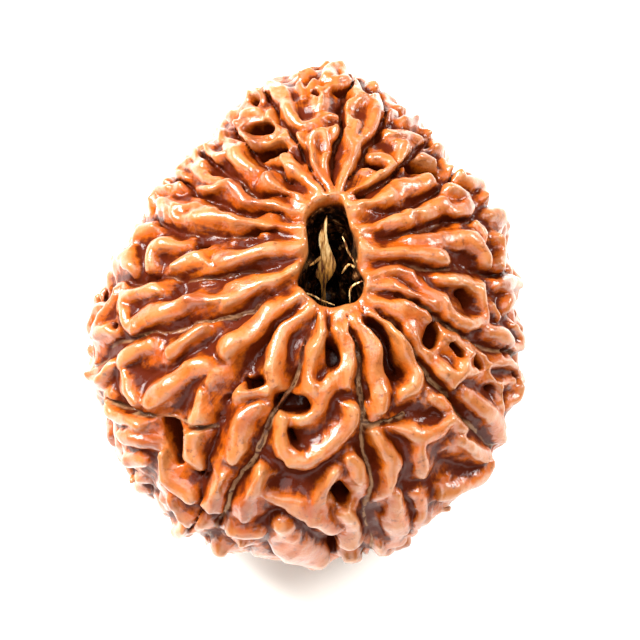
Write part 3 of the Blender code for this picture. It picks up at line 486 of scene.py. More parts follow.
# Lumps of the unseen side, which a rule places.
HIDDEN_SEED = 18
HIDDEN_SPACING = 2.5
HIDDEN_START = math.radians(34)
HIDDEN_END = math.radians(-86)
HIDDEN_ROW_SPREAD = (0.9, 1.1)
HIDDEN_SHIFT_ACROSS = 0.12
HIDDEN_SHIFT_DOWN = 0.05
HIDDEN_WIDTH_SHARE = 0.42
HIDDEN_ROOM = (0.6, 0.3)
HIDDEN_RADIUS = (0.6, 1.1)
HIDDEN_TAPER = (0.8, 1.0, 0.85)
HIDDEN_HALF_LENGTH = (0.4, 1.8)
HIDDEN_TURN = 0.9
HIDDEN_BEND = 0.4
HIDDEN_FACING = 0.38
EDGE_SINK = 1.0
POLE_BOSS_RADIUS = 4.0


def plan_radius(angle):
    """The body's radius at the middle height, going smoothly through PLAN_RADII."""
    count = len(PLAN_RADII)
    waves = np.fft.rfft(PLAN_RADII) / count
    total = np.full_like(angle, waves[0].real)
    for turn in range(1, len(waves)):
        weight = 1 if turn == count // 2 else 2
        total += weight * (waves[turn].real * np.cos(turn * angle) - waves[turn].imag * np.sin(turn * angle))
    return total


def gauge(x, y, z):
    """1 on the body's outer surface, less inside, more outside."""
    across = np.hypot(x, y) / plan_radius(np.arctan2(y, x))
    height = z - MID_HEIGHT
    along = np.abs(height) / np.where(height > 0, RISE, DROP)
    return (across**SQUARENESS + along**SQUARENESS) ** (1 / SQUARENESS)


def gauge_at(points):
    return gauge(*np.moveaxis(np.asarray(points, float), -1, 0))


def onto_body(points):
    """Points moved to the outer surface, on the line from the body's middle."""
    middle = np.array((0, 0, MID_HEIGHT))
    return middle + (points - middle) / gauge_at(points)[..., None]


def slopes_at(points):
    """How fast the gauge rises along each axis."""
    steps = NORMAL_STEP * np.eye(3)
    rises = [gauge_at(points + step) - gauge_at(points - step) for step in steps]
    return np.stack(rises, axis=-1) / (2 * NORMAL_STEP)


def outward(points):
    """The outer surface's normals."""
    slopes = slopes_at(points)
    return slopes / np.linalg.norm(slopes, axis=-1, keepdims=True)


def depth_under(points):
    """How deep under the outer surface these points are."""
    return (1 - gauge_at(points)) / np.linalg.norm(slopes_at(points), axis=-1)


def view_axes():
    """The eye, and the photograph's right, up and forward directions."""
    sine, cosine = math.sin(VIEW_ELEVATION), math.cos(VIEW_ELEVATION)
    right, up, forward = np.array((1, 0, 0)), np.array((0, sine, cosine)), np.array((0, cosine, -sine))
    beside = (PICTURE_CENTRE[0] - AXIS_PIXEL[0]) / PIXELS_PER_MM
    above = (AXIS_PIXEL[1] - PICTURE_CENTRE[1]) / PIXELS_PER_MM
    target = np.array((0, 0, MID_HEIGHT)) + beside * right + above * up
    return target - VIEW_DISTANCE * forward, right, up, forward


def seen(pixels, deep):
    """The outer surface's points over what the photograph shows at these pixels, so deep under it."""
    eye, right, up, forward = view_axes()
    pixels = np.asarray(pixels, float)
    deep = np.broadcast_to(deep, len(pixels))
    offset = (pixels - PICTURE_CENTRE) / (PIXELS_PER_MM * VIEW_DISTANCE)
    rays = forward + offset[:, :1] * right - offset[:, 1:2] * up
    depths = np.linspace(VIEW_DISTANCE - VIEW_REACH, VIEW_DISTANCE + VIEW_REACH, VIEW_STEPS)
    under = depth_under(eye + depths[None, :, None] * rays[:, None, :])
    reached = under > deep[:, None]
    hit = np.where(reached.any(axis=1), reached.argmax(axis=1), under.argmax(axis=1))
    places = eye + depths[hit][:, None] * rays
    return onto_body(places + deep[:, None] * outward(places))


def outline_room(points):
    """How far inside the photograph's outline these points are seen, negative outside."""
    eye, right, up, _ = view_axes()
    scale = 1 / pixel_size(points)
    pixels = PICTURE_CENTRE + np.stack([(points - eye) @ right, (eye - points) @ up], axis=1) * scale[:, None]
    corners = np.array(OUTLINE_SEEN, float)
    nearest = np.full(len(pixels), np.inf)
    inside = np.zeros(len(pixels), bool)
    for start, end in zip(corners, np.roll(corners, -1, axis=0)):
        way = end - start
        share = np.clip((pixels - start) @ way / (way @ way), 0, 1)
        nearest = np.minimum(nearest, np.linalg.norm(pixels - start - share[:, None] * way, axis=1))
        level = (start[1] > pixels[:, 1]) != (end[1] > pixels[:, 1])
        across = (pixels[:, 0] - start[0]) * way[1] - (pixels[:, 1] - start[1]) * way[0]
        inside ^= level & ((across < 0) == (way[1] > 0))
    return np.where(inside, nearest, -nearest) / scale


def pixel_size(points):
    """Millimetres to a pixel at these points."""
    eye, _, _, forward = view_axes()
    return (points - eye) @ forward / (PIXELS_PER_MM * VIEW_DISTANCE)


def angles_of(points):
    """Azimuth and latitude about the body's middle."""
    x, y, z = np.moveaxis(points, -1, 0)
    return np.arctan2(y, x), np.arctan2(z - MID_HEIGHT, np.hypot(x, y))


def at_angles(azimuth, latitude):
    azimuth, latitude = np.broadcast_arrays(azimuth, latitude)
    level = np.cos(latitude)
    way = np.stack([level * np.cos(azimuth), level * np.sin(azimuth), np.sin(latitude)], axis=-1)
    return onto_body(np.array((0, 0, MID_HEIGHT)) + way)


def seam_lines():
    """Each seam as points on the outer surface, from the canal to the lower pole."""
    lines = []
    for pixels in SEAMS_SEEN:
        shown = seen(pixels, SEAM_SEEN_DEPTH)
        azimuth, latitude = angles_of(shown[-1])
        down = np.linspace(latitude, -math.pi / 2, SEAM_STEPS)[1:]
        lines.append(np.vstack([shown, at_angles(azimuth + SEAM_SWAY * np.sin(SEAM_WAVES * down), down)]))
    return lines


def side_seam_lines():
    return [seen(pixels, SEAM_SEEN_DEPTH) for pixels in SIDE_SEAMS_SEEN]


def seen_crests(crests, deep=None):
    """Each line of (pixel x, pixel y, half width) as points on the outer surface and radii."""
    lines = []
    for crest in crests:
        crest = rounded(np.array(crest, float))
        points = seen(crest[:, :2], crest[:, 2] / PIXELS_PER_MM if deep is None else deep)
        lines.append((points, crest[:, 2] * pixel_size(points)))
    return lines


def rounded(line, steps=CURVE_STEPS):
    """A line with more points, on a smooth curve through its own."""
    if len(line) < 3:
        return line
    before = np.vstack([2 * line[0] - line[1], line[:-2]])
    after = np.vstack([line[2:], 2 * line[-1] - line[-2]])
    curve = []
    for a, b, c, d in zip(before, line[:-1], line[1:], after):
        for share in np.arange(steps) / steps:
            bend = (2 * b, c - a, 2 * a - 5 * b + 4 * c - d, 3 * b - a - 3 * c + d)
            curve.append(sum(part * share**power for power, part in enumerate(bend)) / 2)
    return np.vstack([*curve, line[-1]])


def hidden_lumps(taken):
    """Lumps on the side that the photograph doesn't show, in rows down each face."""
    draw = np.random.default_rng(HIDDEN_SEED)
    eye = view_axes()[0]
    taken_points = np.vstack([points for points, _ in taken])
    taken_radii = np.concatenate([radii for _, radii in taken])
    borders = sorted(float(angles_of(line)[0][-2]) for line in seam_lines())
    borders.append(borders[0] + 2 * math.pi)
    lumps = []
    for start, end in zip(borders, borders[1:]):
        latitude = HIDDEN_START
        while latitude > HIDDEN_END:
            level = at_angles((start + end) / 2, latitude)
            width = (end - start) * math.hypot(level[0], level[1])
            across = max(1, round(width / HIDDEN_SPACING))
            for place in range(across):
                share = (place + 0.5 + draw.uniform(-HIDDEN_SHIFT_ACROSS, HIDDEN_SHIFT_ACROSS)) / across
                azimuth = start + share * (end - start)
                height = latitude + draw.uniform(-HIDDEN_SHIFT_DOWN, HIDDEN_SHIFT_DOWN)
                turn = draw.uniform(-HIDDEN_TURN, HIDDEN_TURN)
                half = draw.uniform(*HIDDEN_HALF_LENGTH)
                bend = draw.uniform(-HIDDEN_BEND, HIDDEN_BEND) / math.hypot(level[0], level[1])
                radius = min(draw.uniform(*HIDDEN_RADIUS), HIDDEN_WIDTH_SHARE * width / across)
                spread = half / math.hypot(level[0], level[1]) * math.sin(turn)
                rise = half / np.linalg.norm(level - (0, 0, MID_HEIGHT)) * math.cos(turn)
                ends = at_angles(
                    np.array((azimuth - spread, azimuth + bend, azimuth + spread)),
                    np.array((height + rise, height, height - rise)),
                )
                toward = eye - ends[1]
                facing = outward(ends[1:2])[0] @ toward / np.linalg.norm(toward)
                room = (np.linalg.norm(taken_points[:, None] - ends, axis=2) - taken_radii[:, None]).min()
                radii = radius * np.array(HIDDEN_TAPER)
                short = radii - outline_room(ends - radii[:, None] * outward(ends))
                ends -= np.clip(short, 0, EDGE_SINK)[:, None] * outward(ends)
                if facing < HIDDEN_FACING and room > HIDDEN_ROOM[0] * radius + HIDDEN_ROOM[1]:
                    lumps.append((ends, radii))
            row = HIDDEN_SPACING / np.linalg.norm(level - (0, 0, MID_HEIGHT))
            latitude -= row * draw.uniform(*HIDDEN_ROW_SPREAD)
    lumps.append((at_angles(np.zeros(1), np.full(1, -math.pi / 2)), np.array((POLE_BOSS_RADIUS,))))
    return lumps


def blended(a, b, width):
    """The lesser of two distances, with a fillet of about this width where they meet."""
    overlap = np.maximum(width - np.abs(a - b), 0) / width
    return np.minimum(a, b) - overlap * overlap * width / 4


class Block:
    """A grid of points with the stone's signed distance on it, negative inside."""

    def __init__(self, step):
        self.step = step
        self.axes = [np.arange(low, high, step) for low, high in zip(GRID_LOW, GRID_HIGH)]
        x, y, z = (axis.astype(np.float32) for axis in np.meshgrid(*self.axes, indexing="ij"))
        self.points = self.swayed(x, y, z)
        value = gauge(*self.points)
        slopes = np.gradient(value, step)
        steepness = np.sqrt(sum(slope * slope for slope in slopes))
        self.outer = ((value - 1) / np.maximum(steepness, LEAST_STEEPNESS)).astype(np.float32)
        self.relief = np.full(value.shape, FAR, np.float32)
        self.seam = np.full(value.shape, FAR, np.float32)

    @staticmethod
    def swayed(x, y, z):
        """The grid's points, each moved a little by slow waves, so that no lump stays quite round."""
        draw = np.random.default_rng(SWAY_SEED)
        moved = [x.copy(), y.copy(), z.copy()]
        for target, (length, size) in itertools.product(moved, SWAYS):
            for _ in range(SWAY_WAVES):
                way = draw.normal(size=3)
                way *= 2 * math.pi / (length * draw.uniform(*SWAY_SPREAD) * np.linalg.norm(way))
                way, phase = way.astype(np.float32), np.float32(draw.uniform(0, 2 * math.pi))
                target += np.float32(size / 2) * np.sin(way[0] * x + way[1] * y + way[2] * z + phase)
        return moved

    def near(self, low, high):
        """The slices of the grid between two corners."""
        window = []
        for axis, least, most in zip(self.axes, low, high):
            window.append(slice(*np.searchsorted(axis, (least - self.step, most + self.step))))
        return tuple(window)

    @staticmethod
    def within(window, room):
        """The slices of a room's own array that a window shares with it."""
        shared = []
        for a, b in zip(window, room):
            least, most = max(a.start, b.start), min(a.stop, b.stop)
            shared.append(slice(least - b.start, most - b.start))
        return tuple(shared)

    def wall(self, start, end, radii, normals, drop, reach):
        """A window, and in it the distances to a ridge between two points with sides that go straight in."""
        roots = np.vstack([start - reach * normals[0], end - reach * normals[1], start, end])
        margin = max(radii) + WALL_MARGIN
        window = self.near(roots.min(axis=0) - margin, roots.max(axis=0) + margin)
        x, y, z = (axis[window] for axis in self.points)
        start = start - drop * radii[0] * normals[0]
        end = end - drop * radii[1] * normals[1]
        way = end - start
        length = max(float(way @ way), 1e-6)
        share = ((x - start[0]) * way[0] + (y - start[1]) * way[1] + (z - start[2]) * way[2]) / length
        share = np.clip(share, 0, 1)
        offset = [axis - (start[i] + share * way[i]) for i, axis in enumerate((x, y, z))]
        normal = [normals[0][i] + share * (normals[1][i] - normals[0][i]) for i in range(3)]
        height = sum(a * b for a, b in zip(offset, normal))
        square = sum(a * a for a in offset)
        beside = np.sqrt(np.maximum(square - height * height, 0))
        radius = radii[0] + share * (radii[1] - radii[0])
        return window, beside, height, radius

    def add_lump(self, points, radii, flare=FLARE, blend=LUMP_BLEND):
        """Unites a ridge along these points, round on top and wider below, with the relief."""
        normals = outward(points)
        if len(points) == 1:
            points, radii, normals = (np.repeat(part, 2, axis=0) for part in (points, radii, normals))
        roots = points - ROOT_DEPTH * normals
        margin = radii.max() + flare * ROOT_DEPTH + 2 * self.step
        ends = np.vstack([roots, points])
        room = self.near(ends.min(axis=0) - margin, ends.max(axis=0) + margin)
        ridge = np.full(self.relief[room].shape, FAR, np.float32)
        for i in range(len(points) - 1):
            window, beside, height, radius = self.wall(
                points[i], points[i + 1], radii[i : i + 2], normals[i : i + 2], 1.0, ROOT_DEPTH
            )
            top = np.sqrt(beside * beside + np.maximum(height, 0) ** 2)
            waist = radius + flare * np.clip(-height, 0, ROOT_DEPTH)
            part = self.within(window, room)
            ridge[part] = np.minimum(ridge[part], (top - waist)[self.within(room, window)])
        self.relief[room] = blended(self.relief[room], ridge, blend)

    def cut_seam(self, points, fibrous):
        """Cuts a narrow slit along these points, shallow at the canal."""
        outset = self.outset(points)
        nearest = self.seam if fibrous else None
        self.cut(points, SEAM_HALF_WIDTH * outset, SEAM_DEPTH * outset, SEAM_BLEND, nearest)

    def outset(self, points):
        """0 at the canal's rim, where the seams are only creases, to 1 where they are whole."""
        start, end = SEAM_START
        return np.clip((self.from_canal(*points.T) - start) / (end - start), LEAST_OUTSET, 1)

    def add_web(self, points):
        """The thin wall of tissue along a seam, lower than the lumps beside it."""
        points = points[self.outset(points) > WEB_OUTSET]
        deep = np.where(points[:, 2] > MID_HEIGHT, WEB_DEPTH, LOW_WEB_DEPTH)
        low = points - deep[:, None] * outward(points)
        self.relief = self.stone
        self.add_lump(low, np.full(len(points), WEB_RADIUS), WEB_FLARE, WEB_BLEND)

    def cut(self, points, radii, deep, blend, nearest=None):
        """Cuts a slot of this depth along these points. nearest keeps the distance to its middle line."""
        normals = outward(points)
        deep = np.broadcast_to(deep, len(points))
        if len(points) == 1:
            parts = (points, radii, normals, deep)
            points, radii, normals, deep = (np.repeat(part, 2, axis=0) for part in parts)
        for i in range(len(points) - 1):
            window, beside, height, radius = self.wall(
                points[i], points[i + 1], radii[i : i + 2], normals[i : i + 2], 0.0, max(deep[i : i + 2])
            )
            slot = np.maximum(beside - radius, -height - (deep[i] + deep[i + 1]) / 2)
            self.stone[window] = -blended(-self.stone[window], slot, blend)
            if nearest is not None:
                nearest[window] = np.minimum(nearest[window], beside)

    @staticmethod
    def from_canal(x, y, z):
        """The distance to the canal's wall, negative inside."""
        back, front = np.array(CANAL_BACK), np.array(CANAL_FRONT)
        way = front - back
        share = np.clip(((x - back[0]) * way[0] + (y - back[1]) * way[1]) / (way @ way), 0, 1)
        beside = np.hypot(x - back[0] - share * way[0], y - back[1] - share * way[1])
        depth = np.clip((MID_HEIGHT + RISE - z) / CANAL_DEPTH, 0, 1)
        narrowing = 1 - (1 - CANAL_END_SHARE) * depth**CANAL_NARROWING
        return beside - (CANAL_BACK_RADIUS + share * (CANAL_FRONT_RADIUS - CANAL_BACK_RADIUS)) * narrowing

    def unite(self):
        """Sets the stone: the body at the valleys' depth, less deep round the canal, and the relief."""
        self.canal = self.from_canal(*self.points)
        collar = np.exp(-((np.maximum(self.canal, 0) / COLLAR_WIDTH) ** 2))
        collar = np.where(self.points[2] > MID_HEIGHT, collar, 0)
        floor = VALLEY_DEPTH + (COLLAR_DEPTH - VALLEY_DEPTH) * collar
        self.stone = blended(self.outer + floor, self.relief, ROOT_BLEND)

    def cut_canal(self):
        canal = np.maximum(self.canal, MID_HEIGHT + RISE - CANAL_DEPTH - self.points[2])
        self.stone = -blended(-self.stone, canal, LIP_BLEND)

    def add_crumbs(self):
        """Scatters crumbs of torn tissue over the canal's walls."""
        draw = np.random.default_rng(CRUMB_SEED)
        places = draw.uniform(CRUMB_LOW, CRUMB_HIGH, (CRUMB_TRIES, 3))
        places = places[np.abs(self.from_canal(*places.T)) < CRUMB_REACH]
        for place, radius in zip(places, draw.uniform(*CRUMB_RADIUS, len(places))):
            window = self.near(place - radius - self.step, place + radius + self.step)
            square = sum((axis[window] - middle) ** 2 for axis, middle in zip(self.points, place))
            self.stone[window] = blended(self.stone[window], np.sqrt(square) - radius, radius)

    def cut_flat(self):
        """Takes off what reaches below the surface that the seed stands on."""
        self.stone = np.maximum(self.stone, -self.axes[2][None, None, :].astype(np.float32))

    def crowding(self, reach):
        """The share of stone within about this distance: less on a crest, more in a crevice."""
        share = (self.stone < 0).astype(np.float32)
        cells = max(1, round(reach / self.step))
        for axis in (0, 1, 2, 0, 1, 2):
            ends = [(cells + 1, cells) if i == axis else (0, 0) for i in range(3)]
            total = np.cumsum(np.pad(share, ends, mode="edge"), axis=axis, dtype=np.float32)
            count = 2 * cells + 1
            upper = tuple(slice(count, None) if i == axis else slice(None) for i in range(3))
            lower = tuple(slice(None, -count) if i == axis else slice(None) for i in range(3))
            share = (total[upper] - total[lower]) / count
        return share

    def sampled(self, field, points):
        """A field's values at points that lie in the grid."""
        place = (points - GRID_LOW) / self.step
        low = np.floor(place).astype(int)
        share = place - low
        total = np.zeros(len(points))
        for corner in np.ndindex(2, 2, 2):
            weight = np.prod(np.where(corner, share, 1 - share), axis=1)
            total += weight * field[tuple((low + corner).T)]
        return total

    def surface(self):
        """Points and four-cornered faces where the distance is zero: one point in each cell it crosses."""
        field = self.stone
        inside = field < 0
        corners = list(np.ndindex(2, 2, 2))
        shape = tuple(size - 1 for size in field.shape)

        def corner(values, at):
            return values[tuple(slice(a, a + size) for a, size in zip(at, shape))]

        filled = sum(corner(inside, at).astype(np.int8) for at in corners)
        cells = np.nonzero((filled > 0) & (filled < 8))
        total, count = np.zeros((len(cells[0]), 3)), np.zeros(len(cells[0]))
        for at in corners:
            for axis in range(3):
                if at[axis]:
                    continue
                to = tuple(1 if i == axis else at[i] for i in range(3))
                first, second = corner(field, at)[cells], corner(field, to)[cells]
                crossed = (first < 0) != (second < 0)
                share = np.where(crossed, first / np.where(crossed, first - second, 1), 0)
                place = np.tile(np.array(at, float), (len(share), 1))
                place[:, axis] += share
                total += np.where(crossed[:, None], place, 0)
                count += crossed
        points = (np.stack(cells, axis=1) + total / count[:, None]) * self.step + GRID_LOW
        number = np.full(shape, -1, np.int64)
        number[cells] = np.arange(len(cells[0]))
        faces = []
        for axis in range(3):
            u, v = (axis + 1) % 3, (axis + 2) % 3
            ahead = tuple(slice(1, None) if i == axis else slice(None) for i in range(3))
            behind = tuple(slice(None, -1) if i == axis else slice(None) for i in range(3))
            change = inside[behind].astype(np.int8) - inside[ahead].astype(np.int8)
            for sign in (1, -1):
                edges = np.stack(np.nonzero(change == sign), axis=1)
                ring = []
                for du, dv in ((-1, -1), (0, -1), (0, 0), (-1, 0)):
                    cell = edges.copy()
                    cell[:, u] += du
                    cell[:, v] += dv
                    ring.append(number[tuple(cell.T)])
                faces.append(np.stack(ring[::sign], axis=1))
        return points, np.vstack(faces)


def rim_radii(points):
    """How broad a crest is at least near the canal, where the petals touch each other."""
    start, end = RIM_REACH
    return RIM_RADIUS * np.clip((end - Block.from_canal(*points.T)) / (end - start), 0, 1)


def stone_block():
    block = Block(GRID_STEP)
    shown = [(points, np.maximum(radii, rim_radii(points))) for points, radii in seen_crests(LUMPS_SEEN)]
    for points, radii in shown + hidden_lumps(shown):
        block.add_lump(points, radii)
    block.unite()
    seams = seam_lines() + side_seam_lines()
    for number, line in enumerate(seams):
        block.cut_seam(line, number not in BARE_SEAMS)
    for points, radii in seen_crests(PITS_SEEN, PIT_SEEN_DEPTH):
        block.cut(points, radii, PIT_DEPTH, PIT_BLEND)
    for line in seams:
        block.add_web(line)
    block.cut_canal()
    block.add_crumbs()
    block.cut_flat()
    return block


def main_shell(points, faces):
    """The mesh without any surface that isn't joined to the largest."""
    label = np.arange(len(points))
    while True:
        least = label[faces].min(axis=1)
        new = label.copy()
        for corner in range(faces.shape[1]):
            np.minimum.at(new, faces[:, corner], least)
        new = new[new]
        if (new == label).all():
            break
        label = new
    names, sizes = np.unique(label, return_counts=True)
    kept = label == names[sizes.argmax()]
    number = np.cumsum(kept) - 1
    return points[kept], number[faces[kept[faces].all(axis=1)]]


def mesh_object(name, points, faces):
    mesh = bpy.data.meshes.new(name)
    mesh.vertices.add(len(points))
    mesh.vertices.foreach_set("co", (points * MM).astype(np.float32).ravel())
    size = faces.shape[1]
    mesh.loops.add(faces.size)
    mesh.loops.foreach_set("vertex_index", faces.astype(np.int32).ravel())
    mesh.polygons.add(len(faces))
    mesh.polygons.foreach_set("loop_start", np.arange(0, faces.size, size, dtype=np.int32))
    mesh.update(calc_edges=True)
    mesh.validate()
    mesh.shade_smooth()
    made = bpy.data.objects.new(name, mesh)
    bpy.context.scene.collection.objects.link(made)
    return made


def vertex_values(mesh, name, values):
    attribute = mesh.attributes.new(name, "FLOAT", "POINT")
    attribute.data.foreach_set("value", values.astype(np.float32))


def make_stone():
    block = stone_block()
    points, faces = main_shell(*block.surface())
    stone = mesh_object("seed_stone", points, faces)
    crowding = block.sampled(block.crowding(CROWDING_REACH), points)
    vertex_values(stone.data, "depth", -block.sampled(block.outer, points))
    vertex_values(stone.data, "crowding", crowding)
    vertex_values(stone.data, "seam", block.sampled(block.seam, points))
    vertex_values(stone.data, "from_canal", block.sampled(block.canal, points))
    smooth = stone.modifiers.new("Smooth", "SMOOTH")
    smooth.factor = SMOOTH_FACTOR
    smooth.iterations = SMOOTHING
    fewer = stone.modifiers.new("Fewer faces", "DECIMATE")
    fewer.ratio = STONE_TRIANGLES / (2 * len(faces))
    stone.data.materials.append(stone_material("oiled_stone", gloss=0.25, oil=0.8, oil_roughness=0.2))
    stone.data.materials.append(stone_material("dull_stone", gloss=0.04, oil=0.3, oil_roughness=0.08))
    dull = crowding[faces].mean(axis=1) > DULL_CROWDING
    stone.data.polygons.foreach_set("material_index", dull.astype(np.int32))
    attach(stone, "root")
    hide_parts("seed")


class Nodes:
    """A short way to build a material."""

    def __init__(self, name):
        self.material = bpy.data.materials.new(name)
        self.material.use_nodes = True
        self.tree = self.material.node_tree
        self.shader = self.tree.nodes["Principled BSDF"]

    def add(self, kind, inputs=None, **settings):
        node = self.tree.nodes.new("ShaderNode" + kind)
        for key, value in settings.items():
            setattr(node, key, value)
        for key, value in (inputs or {}).items():
            self.put(node.inputs[key], value)
        return node

    def put(self, socket, value):
        if isinstance(value, bpy.types.NodeSocket):
            self.tree.links.new(value, socket)
        else:
            socket.default_value = value

    def surface(self, **inputs):
        for key, value in inputs.items():
            self.put(self.shader.inputs[key.replace("_", " ")], value)

    def attribute(self, name):
        return self.add("Attribute", attribute_name=name).outputs["Fac"]

    def noise(self, scale, detail, roughness, vector):
        inputs = {"Scale": scale, "Detail": detail, "Roughness": roughness, "Vector": vector}
        return self.add("TexNoise", inputs).outputs["Fac"]

    def ramp(self, value, *stops):
        node = self.add("ValToRGB", {"Fac": value})
        elements = node.color_ramp.elements
        while len(elements) < len(stops):
            elements.new(0.5)
        for element, (place, colour) in zip(elements, stops):
            element.position = place
            element.color = (*colour, 1)
        return node.outputs["Color"]

    def between(self, value, low, high, start=0.0, end=1.0):
        inputs = {"Value": value, "From Min": low, "From Max": high, "To Min": start, "To Max": end}
        return self.add("MapRange", inputs, interpolation_type="SMOOTHSTEP").outputs["Result"]

    def math(self, operation, first, second):
        return self.add("Math", {0: first, 1: second}, operation=operation).outputs["Value"]

    def mix(self, share, first, second):
        node = self.add("Mix", data_type="RGBA")
        self.put(node.inputs[0], share)
        self.put(node.inputs[6], first)
        self.put(node.inputs[7], second)
        return node.outputs[2]


def stone_material(name, gloss, oil, oil_roughness):
    """Red-brown wood under a film of oil, tan in the seams: pale on the crests and dark in the crevices by
    painted light and shade, and painted shade on the canal's walls.
    """
    nodes = Nodes(name)
    depth, seam, from_canal = (nodes.attribute(kind) for kind in ("depth", "seam", "from_canal"))
    place = nodes.add("TexCoord").outputs["Object"]
    patch = nodes.noise(*PATCH_NOISE, place)
    fleck = nodes.noise(*FLECK_NOISE, place)
    grain = nodes.noise(*GRAIN_NOISE, place)
    axes = nodes.add("SeparateXYZ", {"Vector": place}).outputs
    turn = nodes.math("ARCTAN2", axes["Y"], axes["X"])
    veins = {"X": nodes.math("MULTIPLY", turn, VEIN_TURN), "Y": nodes.math("MULTIPLY", axes["Z"], VEIN_RISE)}
    vein = nodes.noise(*VEIN_NOISE, nodes.add("CombineXYZ", veins).outputs["Vector"])
    mottle = nodes.math("ADD", nodes.between(patch, *PATCH_MOTTLE), nodes.between(fleck, *FLECK_MOTTLE))
    mottle = nodes.math("ADD", mottle, nodes.between(vein, *VEIN_MOTTLE))
    crowding = nodes.math("ADD", nodes.attribute("crowding"), mottle)
    # Lit crests and shaded flanks: the flank colour is painted shade, mixed in where crowding rises towards
    # the hollows.
    crest, shaded_flank = nodes.ramp(patch, *LIT_CREST_COLOURS), nodes.ramp(patch, *SHADED_FLANK_COLOURS)
    colour = nodes.mix(nodes.between(crowding, *FLANK_SHADE_CROWDING), crest, shaded_flank)
    # Painted shade: near-black brown in the crevices, by crowding and by depth under the outer surface.
    deep = nodes.between(depth, *CREVICE_SHADE_DEPTH)
    crevice_shade = nodes.math("MAXIMUM", nodes.between(crowding, *CREVICE_SHADE_CROWDING), deep)
    colour = nodes.mix(crevice_shade, colour, CREVICE_SHADE_COLOUR)
    speck = nodes.between(nodes.noise(*SPECK_NOISE, place), *SPECK_SHARE)
    colour = nodes.mix(speck, colour, SPECK_COLOUR)
    # Painted shade on the canal's walls: near black, with paler crumbs of tissue on it.
    inside = nodes.math("MULTIPLY", nodes.between(from_canal, *WALL_REACH), nodes.between(depth, *WALL_DEPTH))
    colour = nodes.mix(inside, colour, nodes.ramp(fleck, *CRUMB_AND_CANAL_SHADE_COLOURS))
    waves = nodes.math("MULTIPLY", seam, TISSUE_WAVES)
    waves = nodes.math("ADD", waves, nodes.math("MULTIPLY", fleck, TISSUE_SWAY))
    tissue = nodes.ramp(nodes.between(nodes.math("SINE", waves, 0), -1, 1), *TISSUE_COLOURS)
    wider = nodes.between(axes["Y"], *TISSUE_WIDENING)
    share = nodes.between(nodes.math("SUBTRACT", seam, wider), *TISSUE_WIDTH)
    share = nodes.math("MULTIPLY", share, nodes.between(from_canal, *TISSUE_REACH))
    patchy = nodes.between(nodes.noise(*TISSUE_NOISE, place), *TISSUE_PATCHES)
    colour = nodes.mix(nodes.math("MULTIPLY", share, patchy), colour, tissue)
    rough = nodes.between(crowding, *STONE_ROUGHNESS)
    height = nodes.math("ADD", fleck, nodes.math("MULTIPLY", grain, GRAIN_HEIGHT))
    bump = nodes.add("Bump", {"Height": height, **STONE_BUMP})
    film = nodes.add("Bump", {"Height": fleck, **FILM_BUMP})
    nodes.surface(Base_Color=colour, Roughness=rough, Normal=bump.outputs["Normal"], IOR=STONE_IOR)
    nodes.surface(
        Specular_IOR_Level=gloss, Coat_Weight=oil, Coat_Roughness=oil_roughness, Coat_IOR=OIL_IOR
    )
    nodes.surface(Coat_Normal=film.outputs["Normal"])
    return nodes.material


def fibre_material():
    nodes = Nodes("dry_fibre")
    place = nodes.add("TexCoord").outputs["Object"]
    stretched = nodes.add("Mapping", {"Vector": place, "Scale": STREAK_STRETCH}).outputs["Vector"]
    streak = nodes.noise(*STREAK_NOISE, stretched)
    height = nodes.add("SeparateXYZ", {"Vector": place}).outputs["Z"]
    rusty, pale = nodes.ramp(streak, *RUSTY_COLOURS), nodes.ramp(streak, *PALE_COLOURS)
    colour = nodes.mix(nodes.between(height, *PALE_HEIGHT), rusty, pale)
    bump = nodes.add("Bump", {"Height": streak, **FIBRE_BUMP})
    nodes.surface(Base_Color=colour, Roughness=FIBRE_ROUGHNESS, Normal=bump.outputs["Normal"])
    return nodes.material


def strands_of_fibre():
    """The sliver as a bundle of strands that wind round its line and fray at its upper end."""
    draw = np.random.default_rng(STRAND_SEED)
    line = rounded(np.array(FIBRE), STRAND_STEPS)
    share = np.linspace(0, 1, len(line))
    strands = []
    for number in range(STRANDS):
        angle = 2 * math.pi * number / STRANDS + draw.uniform(*STRAND_TWIST) * share
        angle += draw.uniform(-STRAND_SHIFT, STRAND_SHIFT)
        out = draw.uniform(*STRAND_OUT) * line[:, 3]
        out *= 1 + STRAND_WAVE * np.sin(draw.uniform(*STRAND_WAVES) * share + number)
        strand = line.copy()
        strand[:, 0] += out * np.cos(angle)
        strand[:, 1:3] += STRAND_FLATNESS * (out * np.sin(angle))[:, None]
        strand[:, 3] = STRAND_SHARE * line[:, 3] + STRAND_LEAST
        first, last = draw.integers(0, STRAND_LATEST_START), draw.integers(len(line) * 3 // 5, len(line) + 1)
        strand = strand[first:last]
        strand[-len(STRAND_TIP) :, 3] *= STRAND_TIP
        strands.append(strand)
    return strands


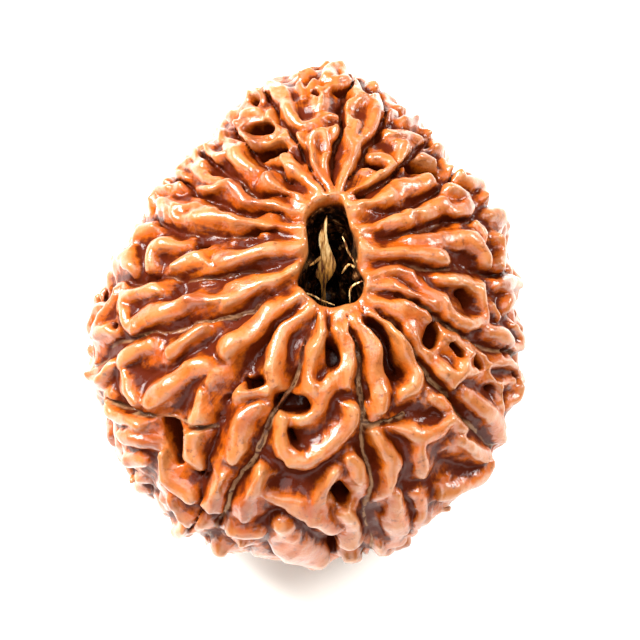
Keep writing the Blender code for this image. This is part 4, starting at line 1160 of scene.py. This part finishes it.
def make_fibre():
    """The dry sliver that stands in the canal, with torn threads beside it."""
    curve = bpy.data.curves.new("dry_sliver", "CURVE")
    curve.dimensions = "3D"
    curve.bevel_depth = MM
    curve.bevel_resolution = 2
    curve.use_fill_caps = True
    for strand in strands_of_fibre() + [rounded(np.array(thread), STRAND_STEPS) for thread in THREADS]:
        line = curve.splines.new("POLY")
        line.points.add(len(strand) - 1)
        for point, (x, y, z, half_width) in zip(line.points, strand):
            point.co = (x * MM, y * MM, z * MM, 1)
            point.radius = half_width
    curve.materials.append(fibre_material())
    sliver = bpy.data.objects.new("dry_sliver", curve)
    bpy.context.scene.collection.objects.link(sliver)
    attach(sliver, "root")
    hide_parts("canal_fibre")


def make_floor():
    half = FLOOR_HALF
    corners = [(-half, -half, 0), (half, -half, 0), (half, half, 0), (-half, half, 0)]
    mesh = bpy.data.meshes.new("floor")
    mesh.from_pydata(corners, [], [(0, 1, 2, 3)])
    nodes = Nodes("pale_floor")
    nodes.surface(Base_Color=FLOOR_COLOUR, Roughness=FLOOR_ROUGHNESS, Specular_IOR_Level=FLOOR_GLOSS)
    mesh.materials.append(nodes.material)
    floor = bpy.data.objects.new("floor", mesh)
    bpy.context.scene.collection.objects.link(floor)


def area_light(name, place, size, watts):
    """A square softbox that points at the seed's middle."""
    data = bpy.data.lights.new(name, "AREA")
    data.size = size
    data.energy = watts
    lamp = bpy.data.objects.new(name, data)
    lamp.location = place
    aim = Vector((0, 0, MID_HEIGHT * MM)) - lamp.location
    lamp.rotation_mode = "QUATERNION"
    lamp.rotation_quaternion = aim.to_track_quat("-Z", "Y")
    bpy.context.scene.collection.objects.link(lamp)


def make_lights():
    for light in LIGHTS:
        area_light(*light)
    world = bpy.data.worlds.new("studio")
    world.use_nodes = True
    back = world.node_tree.nodes["Background"]
    back.inputs["Color"].default_value = WORLD_COLOUR
    back.inputs["Strength"].default_value = WORLD_STRENGTH
    bpy.context.scene.world = world
    bpy.context.scene.view_settings.view_transform = "Standard"


def make_camera():
    eye, right, up, forward = view_axes()
    data = bpy.data.cameras.new("camera")
    data.sensor_width = SENSOR_WIDTH
    data.lens = SENSOR_WIDTH * PIXELS_PER_MM * VIEW_DISTANCE / PICTURE_SIZE
    data.clip_start = CLIP_START
    camera = bpy.data.objects.new("camera", data)
    camera.matrix_world = Matrix(
        [(*(float(axis[i]) for axis in (right, up, -forward)), float(eye[i]) * MM) for i in range(3)]
        + [(0, 0, 0, 1)]
    )
    bpy.context.scene.collection.objects.link(camera)
    bpy.context.scene.camera = camera


make_camera()
make_stone()
make_fibre()
make_floor()
make_lights()
